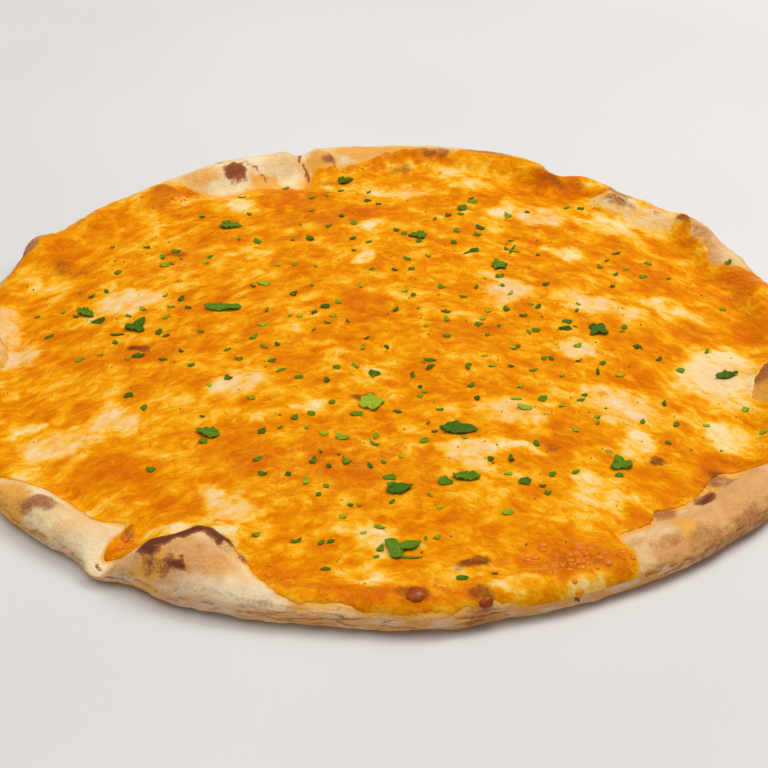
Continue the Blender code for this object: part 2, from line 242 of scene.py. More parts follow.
@dataclass(frozen=True)
class SeededNoise:
    """Smooth noise from a seed, read at whole arrays of points, about -0.7 to 0.7.

    Attributes:
        seed: the seed of the table of slopes.
        size: how many slopes the table holds, a power of two.
    """

    seed: int
    size: int = 256

    @cached_property
    def order(self) -> Array:
        """Return the shuffled order of the table, twice over."""
        order = np.random.default_rng(self.seed).permutation(self.size)
        return np.concatenate((order, order))

    @cached_property
    def slopes(self) -> Array:
        """Return the table of unit slopes."""
        slopes = np.random.default_rng(self.seed + 1).normal(size=(self.size, 3))
        return slopes / np.linalg.norm(slopes, axis=1)[:, None]

    def at(self, x: Array, y: Array, z: Union[Array, float] = 0.0) -> Array:
        """Return the noise at points given in units of its wave size.

        Args:
            x: the first coordinates.
            y: the second coordinates.
            z: the third coordinates, or one value for all.

        Returns:
            One value for each point.
        """
        points = np.stack(np.broadcast_arrays(x, y, z), axis=-1).astype(float)
        cell = np.floor(points).astype(np.int64)
        inside = points - cell
        fade = inside**3 * (inside * (inside * 6.0 - 15.0) + 10.0)
        cell &= self.size - 1
        total = np.zeros(points.shape[:-1])
        for corner in np.ndindex(2, 2, 2):
            index = self.order[(cell[..., 0] + corner[0]) & (self.size - 1)]
            index = self.order[(index + cell[..., 1] + corner[1]) & (self.size - 1)]
            index = self.order[(index + cell[..., 2] + corner[2]) & (self.size - 1)]
            offset = inside - np.array(corner)
            weight = np.prod(np.where(np.array(corner) == 1, fade, 1.0 - fade), axis=-1)
            total += weight * np.einsum("...i,...i->...", self.slopes[index], offset)
        return total

    def layered(
        self, x: Array, y: Array, z: Union[Array, float] = 0.0, layers: int = 3
    ) -> Array:
        """Return noise with finer layers added, each half as large and half as strong.

        Args:
            x: the first coordinates, in units of the largest wave.
            y: the second coordinates.
            z: the third coordinates, or one value for all.
            layers: how many layers are added up.

        Returns:
            One value for each point.
        """
        total = np.zeros(np.broadcast(x, y, z).shape)
        for layer in range(layers):
            finer = 2.0**layer
            total += self.at(x * finer + 7.3 * layer, y * finer, z * finer) / finer
        return total


@dataclass(frozen=True)
class PizzaForm:
    """The form of the solids, worked out at whole arrays of points.

    It is laid out about the circle's centre. The finished meshes move by the middle of the
    outline's box, as the solids do.
    """

    radius: float = 0.198
    dough_floor: float = 0.0042
    cheese_thickness: float = 0.0032
    cheese_edge_taper: float = 0.0128
    gap: float = 0.0003
    rim_low_height: float = 0.0112
    rim_low_setback: float = 0.0065
    rim_lobe_setback: float = 0.01
    rim_slope_width: float = 0.017
    rim_widest_share: float = 0.42
    rim_undercut: float = 0.009
    cheese_margin: float = 0.004
    covered_wave_share: float = 0.4
    solid_columns: int = 160
    outline_waves: tuple = ((7, 0.0006, 0.4), (13, 0.0005, 1.9), (23, 0.0004, 4.1))
    cheese_edge_waves: tuple = ((19, 0.001, 2.2), (37, 0.0011, 0.7))
    dough_wave: tuple = (0.03, 0.0006, 1.5)
    cheese_wave: tuple = (0.024, 0.0007, 7.5)
    swells: tuple = each(
        Swell,
        (12, 7.0, 0.0018), (25, 4.0, -0.0014), (33, 2.5, 0.003), (45.5, 2.6, -0.007),
        (58.5, 3.0, -0.0105), (76, 14.0, 0.003), (92, 60.0, 0.0028), (104.7, 1.4, -0.0016),
        (111, 12.0, -0.0022), (127.5, 2.5, 0.003), (134, 6.0, -0.003), (155.5, 3.2, 0.006),
        (221, 13.0, 0.0046), (236.2, 2.4, 0.0052), (247, 9.0, 0.002), (264, 7.0, -0.0016),
        (298, 14.0, 0.0018), (322, 15.0, 0.009),
    )
    lobes: tuple = each(
        Lobe,
        (2, 13, 0.0, 0.0148, 3.5, 3.5), (17, 30, 0.012, 0.0156, 3.5, 3.5),
        (41, 49, 0.008, 0.013, 3.0, 3.0), (62, 90, 0.004, 0.0138, 3.5, 3.0),
        (92, 103, 0.014, 0.0143, 4.0, 2.5), (105.2, 126, 0.026, 0.015, 2.5, 5.0),
        (129, 149, 0.0, 0.0136, 4.0, 3.0), (152, 161, 0.006, 0.0145, 2.5, 2.5),
        (180, 197, 0.014, 0.013, 4.5, 4.5), (218, 233, 0.017, 0.0132, 4.0, 2.2),
        (231.5, 237.5, 0.015, 0.0112, 2.0, 2.0), (240, 255, 0.028, 0.0138, 1.8, 6.5),
        (301.5, 327, 0.024, 0.0134, 2.4, 3.0), (339, 351, 0.018, 0.0126, 4.0, 4.0),
    )
    blisters: tuple = each(
        Blister,
        (-0.08, -0.167, 0.022, 0.012, 6, 0.004), (-0.07, -0.156, 0.016, 0.0125, 5, 0.0115),
        (0.177, -0.046, 0.019, 0.016, 78, 0.0075), (-0.179, 0.072, 0.014, 0.009, 62, 0.003),
        (-0.081, 0.16, 0.014, 0.01, 12, 0.004), (0.164, 0.099, 0.015, 0.01, 122, 0.0042),
        (0.13, 0.132, 0.01, 0.008, 135, 0.003), (0.092, 0.16, 0.011, 0.007, 150, 0.0032),
        (-0.024, 0.175, 0.013, 0.008, 4, 0.0028), (-0.139, -0.131, 0.012, 0.008, 136, 0.0022),
        (0.142, -0.116, 0.013, 0.01, -40, 0.003), (0.113, -0.139, 0.011, 0.008, -28, 0.0024),
        (0.037, -0.17, 0.01, 0.007, 0, 0.0014), (0.012, -0.186, 0.008, 0.006, 0, 0.0018),
        (0.039, -0.19, 0.008, 0.006, 0, 0.0016),
    )
    grooves: tuple = each(
        Groove,
        (236.6, 1.9, 0.164, 0.0056), (104.3, 1.5, 0.16, 0.0022), (59.0, 2.0, 0.176, 0.0026),
    )

    def wave(self, x: Array, y: Array, kind: tuple) -> Array:
        """Return the relief of one kind of wave, given as its size, height and layer.

        Args:
            x: the points' first plan coordinates.
            y: the points' second plan coordinates.
            kind: the size of a wave, its height and the layer of noise it is read from.

        Returns:
            One height for each point.
        """
        size, height, layer = kind
        pairs = zip(np.ravel(x) / size, np.ravel(y) / size)
        values = np.fromiter((noise.noise((across, up, layer)) for across, up in pairs), float)
        return height * values.reshape(np.shape(x))

    def outline_radius(self, angle: Array) -> Array:
        """Return the outer radius of the pizza in each direction.

        Args:
            angle: directions in degrees.

        Returns:
            One radius for each direction.
        """
        radius = np.full(np.shape(angle), self.radius)
        for swell in self.swells:
            radius += swell.reach * bell(turn_between(angle, swell.angle), swell.spread)
        for count, height, phase in self.outline_waves:
            radius += height * np.sin(count * np.radians(angle) + phase)
        return radius

    def lobe_share(self, lobe: Lobe, angle: Array) -> Array:
        """Return how far each direction lies within a lobe, from 0 to 1.

        Args:
            lobe: the lobe.
            angle: directions in degrees.

        Returns:
            One share for each direction.
        """
        offset = turn_between(angle, 0.5 * (lobe.start + lobe.end))
        fade = np.where(offset < 0.0, lobe.fade_in, lobe.fade_out)
        return smooth(0.5 + 0.5 * (0.5 * (lobe.end - lobe.start) - np.abs(offset)) / fade)

    def bare_share(self, angle: Array) -> Array:
        """Return how much each direction belongs to any lobe, from 0 to 1."""
        return np.max([self.lobe_share(lobe, angle) for lobe in self.lobes], axis=0)

    def cheese_radius(self, angle: Array) -> Array:
        """Return how far out the cheese reaches in each direction.

        Args:
            angle: directions in degrees.

        Returns:
            One radius for each direction.
        """
        margin = np.full(np.shape(angle), self.cheese_margin)
        for lobe in self.lobes:
            margin += lobe.bare_width * self.lobe_share(lobe, angle)
        strength = self.covered_wave_share + (1.0 - self.covered_wave_share) * self.bare_share(angle)
        for count, height, phase in self.cheese_edge_waves:
            margin += height * strength * np.sin(count * np.radians(angle) + phase)
        return self.outline_radius(angle) - margin

    def rim_height(self, angle: Array) -> Array:
        """Return the height of the rim's crest in each direction.

        Args:
            angle: directions in degrees.

        Returns:
            One height for each direction.
        """
        height = np.full(np.shape(angle), self.rim_low_height)
        for lobe in self.lobes:
            height += (lobe.height - self.rim_low_height) * self.lobe_share(lobe, angle)
        return height

    def rim_setback(self, angle: Array) -> Array:
        """Return how far the rim's crest lies inside the outline in each direction."""
        return self.rim_low_setback + (self.rim_lobe_setback - self.rim_low_setback) * self.bare_share(angle)

    def blister_height(self, x: Array, y: Array) -> Array:
        """Return how far the blisters raise the dough at each point.

        Args:
            x: the points' first plan coordinates.
            y: the points' second plan coordinates.

        Returns:
            One height for each point.
        """
        height = np.zeros(np.shape(x))
        for blister in self.blisters:
            height += blister.height * bell(oval_offset(blister, x, y), 1.0)
        return height

    def groove_depth(self, radius: Array, angle: Array) -> Array:
        """Return how deep the fold and the cracks cut into the dough at each point.

        Args:
            radius: distances from the centre.
            angle: directions in degrees.

        Returns:
            One depth for each point.
        """
        depth = np.zeros(np.shape(angle))
        for groove in self.grooves:
            run = smooth((radius - groove.inner_radius) / (self.radius - groove.inner_radius))
            depth += groove.depth * run * bell(turn_between(angle, groove.angle), groove.spread)
        return depth

    def dough_top(self, radius: Array, angle: Array) -> Array:
        """Return the height of the dough's upper face at each point.

        Args:
            radius: distances from the centre.
            angle: directions in degrees.

        Returns:
            One height for each point.
        """
        setback = self.rim_setback(angle)
        crest = self.outline_radius(angle) - setback
        height = self.rim_height(angle)
        x, y = plan_of(radius, angle)
        relief = self.wave(x, y, self.dough_wave) + self.blister_height(x, y)
        relief -= self.groove_depth(radius, angle)
        climb = smooth((radius - crest + self.rim_slope_width) / self.rim_slope_width)
        inside = self.dough_floor + (height - self.dough_floor) * climb + relief
        widest = self.rim_widest_share * height
        fall = np.sqrt(np.clip(1.0 - ((radius - crest) / setback) ** 2, 0.0, 1.0))
        outside = widest + (height + relief - widest) * fall
        return np.where(radius <= crest, inside, outside)

    @cached_property
    def middle(self) -> Array:
        """Return the middle of the outline's box, which the origin is moved to."""
        angle = 360.0 * np.arange(self.solid_columns) / self.solid_columns
        points = np.stack(plan_of(self.outline_radius(angle), angle))
        return np.append(0.5 * (points.min(axis=1) + points.max(axis=1)), 0.0)


def oval_offset(oval: Union[Blister, Mark], x: Array, y: Array) -> Array:
    """Return how far points lie from an oval's centre, 1 at its outline.

    Args:
        oval: anything with a centre, two half sizes and a heading in degrees.
        x: the points' first plan coordinates.
        y: the points' second plan coordinates.

    Returns:
        One offset for each point.
    """
    heading = math.radians(oval.heading)
    east = x - oval.x
    north = y - oval.y
    along = east * math.cos(heading) + north * math.sin(heading)
    across = north * math.cos(heading) - east * math.sin(heading)
    return np.hypot(along / oval.along, across / oval.across)


def marked(marks: Sequence[Mark], x: Array, y: Array) -> Array:
    """Return how strongly points are marked by the strongest of some ovals, from 0 to 1.

    Args:
        marks: the ovals.
        x: the points' first plan coordinates.
        y: the points' second plan coordinates.

    Returns:
        One strength for each point.
    """
    strength = np.zeros(np.shape(x))
    for mark in marks:
        strength = np.maximum(strength, mark.strength * rise(-oval_offset(mark, x, y), -1.6, -0.5))
    return strength


def join(first: Array, second: Array) -> Array:
    """Return triangles between two closed rings, where either may have half the vertices.

    Args:
        first: vertex numbers of the ring that the triangles' outer sides start on.
        second: vertex numbers of the other ring.

    Returns:
        Rows of three vertex numbers.
    """
    if len(first) == len(second):
        far_first = np.roll(first, -1)
        far_second = np.roll(second, -1)
        return np.concatenate(
            (np.stack((first, far_first, far_second), 1), np.stack((first, far_second, second), 1))
        )
    if len(first) == 2 * len(second):
        near, middle, far = first[0::2], first[1::2], np.roll(first[0::2], -1)
        inner = np.roll(second, -1)
        parts = ((near, middle, second), (middle, inner, second), (middle, far, inner))
    else:
        near, middle, far = second[0::2], second[1::2], np.roll(second[0::2], -1)
        outer = np.roll(first, -1)
        parts = ((first, middle, near), (first, outer, middle), (outer, far, middle))
    return np.concatenate([np.stack(part, 1) for part in parts])


def fan(rim: Array, middle: int) -> Array:
    """Return the triangles between a closed ring and one middle vertex."""
    return np.stack((rim, np.roll(rim, -1), np.full(len(rim), middle)), 1)


class MeshDraft:
    """Points, triangles and vertex values of a mesh, gathered before it is made."""

    def __init__(self) -> None:
        """Start empty."""
        self.points: list[Array] = []
        self.triangles: list[Array] = []
        self.values: dict[str, list[Array]] = {}
        self.count = 0

    def add(self, points: Array, **values: Array) -> Array:
        """Add points, with a value of each named kind for every one.

        Args:
            points: rows of three coordinates.
            values: arrays as long as the points, or single numbers.

        Returns:
            The new vertex numbers.
        """
        numbers = np.arange(self.count, self.count + len(points))
        self.points.append(points)
        for name, given in values.items():
            if name not in self.values:
                self.values[name] = [np.zeros(self.count)]
            self.values[name].append(np.broadcast_to(given, len(points)).astype(float))
        for name, kept in self.values.items():
            if name not in values:
                kept.append(np.zeros(len(points)))
        self.count += len(points)
        return numbers

    def face(self, *parts: Array) -> None:
        """Add rows of triangles."""
        self.triangles.extend(parts)

    def piece(self, name: str, shift: Array, sharp: float = 180.0) -> bpy.types.Object:
        """Make the smooth mesh and its object, moved against a shift.

        Args:
            name: the name of the piece.
            shift: what is taken off every point.
            sharp: the angle in degrees from which an edge is drawn sharp.

        Returns:
            The new object, in the scene.
        """
        points = np.concatenate(self.points) - shift
        triangles = np.concatenate(self.triangles)
        mesh = bpy.data.meshes.new(name)
        mesh.vertices.add(len(points))
        mesh.vertices.foreach_set("co", points.astype(np.float32).ravel())
        mesh.loops.add(triangles.size)
        mesh.loops.foreach_set("vertex_index", triangles.astype(np.int32).ravel())
        mesh.polygons.add(len(triangles))
        mesh.polygons.foreach_set("loop_start", np.arange(0, triangles.size, 3, dtype=np.int32))
        mesh.update(calc_edges=True)
        mesh.validate()
        mesh.shade_smooth()
        if sharp < 180.0:
            mesh.set_sharp_from_angle(angle=math.radians(sharp))
        for kind, parts in self.values.items():
            attribute = mesh.attributes.new(kind, "FLOAT", "POINT")
            attribute.data.foreach_set("value", np.concatenate(parts).astype(np.float32))
        made = bpy.data.objects.new(name, mesh)
        bpy.context.scene.collection.objects.link(made)
        return made


class Canvas:
    """A material under construction, with a short call for each kind of node it needs."""

    wander_scale: float = 85.0

    def __init__(self, name: str) -> None:
        """Make a material with a plain shader.

        Args:
            name: the material's name.
        """
        self.material = bpy.data.materials.new(name)
        self.material.use_nodes = True
        self.tree = self.material.node_tree
        self.shader = self.tree.nodes["Principled BSDF"]
        self.place = self.tree.nodes.new("ShaderNodeTexCoord").outputs["Object"]

    def feed(self, socket: Socket, value: Feed) -> None:
        """Link a socket to another, or set its value.

        Args:
            socket: the socket that is fed.
            value: an output socket, a number or a colour.
        """
        if isinstance(value, Socket):
            self.tree.links.new(value, socket)
        else:
            socket.default_value = value

    def finish(self, **values: Feed) -> bpy.types.Material:
        """Feed the shader's sockets.

        Args:
            values: what each socket gets, under its name with underscores for spaces.

        Returns:
            The material.
        """
        for name, value in values.items():
            self.feed(self.shader.inputs[name.replace("_", " ")], value)
        return self.material

    def value_of(self, name: str) -> Socket:
        """Read a vertex attribute.

        Args:
            name: the attribute's name.

        Returns:
            The output that holds its value.
        """
        node = self.tree.nodes.new("ShaderNodeAttribute")
        node.attribute_name = name
        return node.outputs["Fac"]

    def sums(
        self, operation: str, first: Feed, second: Feed = 0.0, third: Feed = 0.0
    ) -> Socket:
        """Return the result of a sum on numbers.

        Args:
            operation: the name of the sum, such as MULTIPLY.
            first: the first number or output.
            second: the second number or output.
            third: the third, for sums that take three.

        Returns:
            The output of the new node.
        """
        node = self.tree.nodes.new("ShaderNodeMath")
        node.operation = operation
        for socket, value in zip(node.inputs, (first, second, third)):
            self.feed(socket, value)
        return node.outputs[0]

    def rise(self, value: Feed, low: float, high: float, top: float = 1.0) -> Socket:
        """Return how far a value has risen from a low to a high level, eased, times a top.

        Args:
            value: the value's output.
            low: the level where the rise starts.
            high: the level where it ends.
            top: the result at the end of the rise.

        Returns:
            The output of the new node.
        """
        node = self.tree.nodes.new("ShaderNodeMapRange")
        node.interpolation_type = "SMOOTHSTEP"
        self.feed(node.inputs["Value"], value)
        node.inputs["From Min"].default_value = low
        node.inputs["From Max"].default_value = high
        node.inputs["To Max"].default_value = top
        return node.outputs[0]

    def grain(
        self,
        place: Socket,
        size: float,
        detail: float = 2.0,
        roughness: float = 0.5,
        warp: float = 0.0,
    ) -> Socket:
        """Return noise of a wave size in metres, about 0.5 on average.

        Args:
            place: the output that holds the coordinates.
            size: the size of the largest waves.
            detail: how many finer layers are added.
            roughness: how strong the finer layers are.
            warp: how far the waves are bent.

        Returns:
            The output of the new node.
        """
        node = self.tree.nodes.new("ShaderNodeTexNoise")
        self.feed(node.inputs["Vector"], place)
        node.inputs["Scale"].default_value = 1.0 / size
        node.inputs["Detail"].default_value = detail
        node.inputs["Roughness"].default_value = roughness
        node.inputs["Distortion"].default_value = warp
        return node.outputs["Fac"]

    def stretched(self, along: float, across: float, bend: float, stray: float) -> Socket:
        """Return coordinates that run in uneven arches over the plan, stretched along them.

        Args:
            along: how much the waves are lengthened along the arches.
            across: how much they are lengthened across them.
            bend: how fast the arches fall away from the middle, per metre.
            stray: how far they wander off, in metres.

        Returns:
            The output that holds the coordinates.
        """
        wander = self.tree.nodes.new("ShaderNodeTexNoise")
        self.feed(wander.inputs["Vector"], self.place)
        wander.inputs["Scale"].default_value = self.wander_scale
        wander.inputs["Detail"].default_value = 2.0
        moved = self.tree.nodes.new("ShaderNodeVectorMath")
        moved.operation = "MULTIPLY_ADD"
        self.feed(moved.inputs[0], wander.outputs["Color"])
        moved.inputs[1].default_value = (stray, stray, 0.0)
        self.feed(moved.inputs[2], self.place)
        parts = self.tree.nodes.new("ShaderNodeSeparateXYZ")
        self.feed(parts.inputs[0], moved.outputs[0])
        east, north, up = parts.outputs
        fall = self.sums("MULTIPLY", self.sums("MULTIPLY", east, east), bend)
        joined = self.tree.nodes.new("ShaderNodeCombineXYZ")
        self.feed(joined.inputs[0], self.sums("DIVIDE", east, along))
        self.feed(joined.inputs[1], self.sums("DIVIDE", self.sums("ADD", north, fall), across))
        self.feed(joined.inputs[2], up)
        return joined.outputs[0]

    def blend(self, share: Feed, first: Feed, second: Feed) -> Socket:
        """Return a colour between two, by a share.

        Args:
            share: how much of the second colour shows, 0 to 1.
            first: the first colour.
            second: the second colour.

        Returns:
            The output of the new node.
        """
        node = self.tree.nodes.new("ShaderNodeMix")
        node.data_type = "RGBA"
        self.feed(node.inputs[0], share)
        self.feed(node.inputs[6], first)
        self.feed(node.inputs[7], second)
        return node.outputs[2]

    def ramp(self, value: Feed, stops: Sequence[tuple]) -> Socket:
        """Return a colour read from a row of stops.

        Args:
            value: the value that picks the colour, 0 to 1.
            stops: pairs of a value and its colour, in rising order.

        Returns:
            The output of the new node.
        """
        node = self.tree.nodes.new("ShaderNodeValToRGB")
        self.feed(node.inputs[0], value)
        elements = node.color_ramp.elements
        for element, (place, colour) in zip((elements[0], elements[-1]), (stops[0], stops[-1])):
            element.position = place
            element.color = colour
        for place, colour in stops[1:-1]:
            elements.new(place).color = colour
        return node.outputs[0]

    def bump(self, height: Feed, depth: float, under: Feed = None) -> Socket:
        """Return a normal bent by a height.

        Args:
            height: the output that holds the height, 0 to 1.
            depth: how high 1 is, in metres.
            under: a normal that this one adds to.

        Returns:
            The output that holds the normal.
        """
        node = self.tree.nodes.new("ShaderNodeBump")
        node.inputs["Strength"].default_value = 1.0
        node.inputs["Distance"].default_value = depth
        self.feed(node.inputs["Height"], height)
        if under is not None:
            self.feed(node.inputs["Normal"], under)
        return node.outputs[0]


@dataclass(frozen=True)
class CheeseFinish:
    """The finish of melted cheese over sauce: oily orange, amber, and streaks of cream."""

    tones: tuple = (
        (0.06, screen(214, 104, 2)),
        (0.26, screen(224, 121, 2)),
        (0.44, screen(237, 143, 4)),
        (0.58, screen(247, 167, 13)),
        (0.7, screen(251, 189, 58)),
        (0.82, screen(250, 202, 114)),
        (0.96, screen(249, 218, 158)),
    )
    rose: tuple = screen(238, 184, 140)
    brown: tuple = screen(146, 70, 22)
    scorch: tuple = screen(92, 42, 20)
    sheen: tuple = (1.0, 0.62, 0.16, 1.0)
    arch_bend: float = 2.6
    wisp_size: float = 0.004
    thread_size: float = 0.0015
    cloud_size: float = 0.009
    relief_depth: float = 0.0003
    oil_relief_depth: float = 0.0014

    def material(self) -> bpy.types.Material:
        """Make the material."""
        canvas = Canvas("melted_cheese")
        arches = canvas.stretched(1.3, 1.0, self.arch_bend, 0.01)
        wisps = canvas.grain(arches, self.wisp_size, 3.0, 0.6, 1.0)
        threads = canvas.grain(arches, self.thread_size, 2.0, 0.6, 0.6)
        clouds = canvas.grain(arches, self.cloud_size, 2.0, 0.55, 0.6)
        tone = canvas.sums("MULTIPLY_ADD", wisps, 0.7, canvas.value_of("tone"))
        tone = canvas.sums("MULTIPLY_ADD", threads, 0.3, tone)
        tone = canvas.sums("MULTIPLY_ADD", clouds, 0.6, tone)
        tone = canvas.sums("SUBTRACT", tone, 0.8)
        colour = canvas.ramp(tone, self.tones)
        blush = canvas.sums("MULTIPLY", canvas.value_of("rose"), canvas.rise(threads, 0.35, 0.65))
        colour = canvas.blend(blush, colour, self.rose)
        uneven = canvas.sums("ADD", threads, wisps)
        toasted = canvas.sums("MULTIPLY_ADD", uneven, 0.9, canvas.value_of("brown"))
        colour = canvas.blend(canvas.rise(toasted, 1.05, 1.75, 0.9), colour, self.brown)
        colour = canvas.blend(canvas.rise(toasted, 1.65, 2.05, 0.8), colour, self.scorch)
        oily = canvas.value_of("gloss")
        relief = canvas.sums("MULTIPLY_ADD", wisps, 2.0, threads)
        normal = canvas.bump(relief, self.relief_depth)
        return canvas.finish(
            Base_Color=colour,
            Roughness=canvas.sums("MULTIPLY_ADD", oily, -0.15, 0.45),
            Normal=normal,
            Specular_IOR_Level=0.03,
            Specular_Tint=self.sheen,
            Coat_Weight=canvas.sums("MULTIPLY", oily, canvas.rise(threads, 0.5, 0.7, 0.8)),
            Coat_Roughness=0.14,
            Coat_Normal=canvas.bump(relief, self.oil_relief_depth),
            Subsurface_Weight=0.1,
            Subsurface_Radius=(1.0, 0.45, 0.12),
            Subsurface_Scale=0.002,
        )


@dataclass(frozen=True)
class DoughFinish:
    """The finish of baked dough: pale crumb colour, toasted crests, char, oil and flour, and painted shade
    in tan on the rim's steep outer side.
    """

    pale: tuple = screen(250, 226, 176)
    warm: tuple = screen(246, 206, 142)
    tan: tuple = screen(224, 160, 90)
    oily: tuple = screen(244, 172, 52)
    brown: tuple = screen(160, 88, 40)
    char: tuple = screen(96, 42, 18)
    flour: tuple = screen(226, 212, 196)
    fine_size: float = 0.0012
    mottle_size: float = 0.005
    broad_size: float = 0.021
    grit_depth: float = 0.0005
    mottle_depth: float = 0.0009

    def material(self) -> bpy.types.Material:
        """Make the material."""
        canvas = Canvas("baked_dough")
        fine = canvas.grain(canvas.place, self.fine_size, 3.0, 0.7)
        mottle = canvas.grain(canvas.place, self.mottle_size, 4.0, 0.65, 0.5)
        broad = canvas.grain(canvas.place, self.broad_size, 2.0, 0.5, 0.3)
        uneven = canvas.sums("ADD", fine, mottle)
        colour = canvas.blend(canvas.rise(broad, 0.35, 0.7), self.pale, self.warm)
        # The tan mark holds real toasting and painted shade on the rim's steep outer side.
        toasted = canvas.sums("MULTIPLY_ADD", uneven, 0.4, canvas.value_of("tan"))
        colour = canvas.blend(canvas.rise(toasted, 0.45, 1.25), colour, self.tan)
        oil = canvas.sums("MULTIPLY_ADD", mottle, 0.4, canvas.value_of("oil"))
        colour = canvas.blend(canvas.rise(oil, 0.3, 1.0, 0.9), colour, self.oily)
        flour = canvas.sums("MULTIPLY_ADD", uneven, 0.5, canvas.value_of("flour"))
        colour = canvas.blend(canvas.rise(flour, 0.7, 1.35, 0.7), colour, self.flour)
        browned = canvas.sums("MULTIPLY_ADD", uneven, 0.85, canvas.value_of("brown"))
        colour = canvas.blend(canvas.rise(browned, 0.95, 1.95, 0.95), colour, self.brown)
        charred = canvas.sums("MULTIPLY_ADD", uneven, 0.6, canvas.value_of("char"))
        colour = canvas.blend(canvas.rise(charred, 0.8, 1.2), colour, self.brown)
        colour = canvas.blend(canvas.rise(charred, 1.1, 1.65, 0.95), colour, self.char)
        roughness = canvas.sums("MULTIPLY_ADD", oil, -0.3, 0.85)
        grit = canvas.bump(fine, self.grit_depth)
        normal = canvas.bump(mottle, self.mottle_depth, grit)
        return canvas.finish(
            Base_Color=colour,
            Roughness=roughness,
            Normal=normal,
            Specular_IOR_Level=0.3,
            Subsurface_Weight=0.06,
            Subsurface_Radius=(1.0, 0.6, 0.3),
            Subsurface_Scale=0.002,
        )


@dataclass(frozen=True)
class ParsleyFinish:
    """The finish of chopped parsley, which differs in lightness from piece to piece."""

    dark: tuple = screen(58, 92, 8)
    middle: tuple = screen(92, 128, 6)
    light: tuple = screen(158, 178, 24)
    vein: tuple = screen(184, 196, 92)
    mottle_size: float = 0.0016
    mottle_depth: float = 0.0003

    def material(self) -> bpy.types.Material:
        """Make the material."""
        canvas = Canvas("chopped_parsley")
        mottle = canvas.grain(canvas.place, self.mottle_size, 3.0, 0.6)
        tint = canvas.sums("MULTIPLY_ADD", mottle, 0.5, canvas.value_of("tint"))
        colour = canvas.blend(canvas.rise(tint, 0.15, 0.7), self.dark, self.middle)
        colour = canvas.blend(canvas.rise(tint, 0.75, 1.25), colour, self.light)
        colour = canvas.blend(canvas.rise(canvas.value_of("vein"), 0.35, 0.95, 0.6), colour, self.vein)
        normal = canvas.bump(mottle, self.mottle_depth)
        return canvas.finish(Base_Color=colour, Roughness=0.5, Normal=normal, Specular_IOR_Level=0.12)


@dataclass(frozen=True)
class BubbleFinish:
    """The finish of glossy oil bubbles and small blisters in the cheese."""

    clear: tuple = screen(238, 132, 10)
    toasted: tuple = screen(150, 62, 6)
    sheen: tuple = (1.0, 0.7, 0.3, 1.0)
    mottle_size: float = 0.0022

    def material(self) -> bpy.types.Material:
        """Make the material."""
        canvas = Canvas("oily_bubbles")
        mottle = canvas.grain(canvas.place, self.mottle_size, 2.0, 0.5)
        share = canvas.sums("MULTIPLY_ADD", mottle, 0.5, canvas.value_of("toasted"))
        colour = canvas.blend(canvas.rise(share, 0.3, 1.05), self.clear, self.toasted)
        return canvas.finish(
            Base_Color=colour,
            Roughness=0.3,
            Specular_IOR_Level=0.08,
            Specular_Tint=self.sheen,
            Coat_Weight=0.28,
            Coat_Roughness=0.07,
        )


@dataclass(frozen=True)
class FloorFinish:
    """The finish of a pale matt floor with the faintest unevenness."""

    light: tuple = screen(228, 225, 222)
    shade: tuple = screen(223, 220, 217)
    cloud_size: float = 0.35

    def material(self) -> bpy.types.Material:
        """Make the material."""
        canvas = Canvas("pale_floor")
        cloud = canvas.grain(canvas.place, self.cloud_size, 2.0, 0.5)
        colour = canvas.blend(canvas.rise(cloud, 0.35, 0.65), self.light, self.shade)
        return canvas.finish(Base_Color=colour, Roughness=0.9, Specular_IOR_Level=0.1)


class CheeseLook(NamedTuple):
    """What the cheese is like at some points: its top's height and the marks on it."""

    height: Array
    tone: Array
    rose: Array
    brown: Array
    gloss: Array

    def marks(self) -> dict[str, Array]:
        """Return the marks that become vertex attributes."""
        return {"tone": self.tone, "rose": self.rose, "brown": self.brown, "gloss": self.gloss}


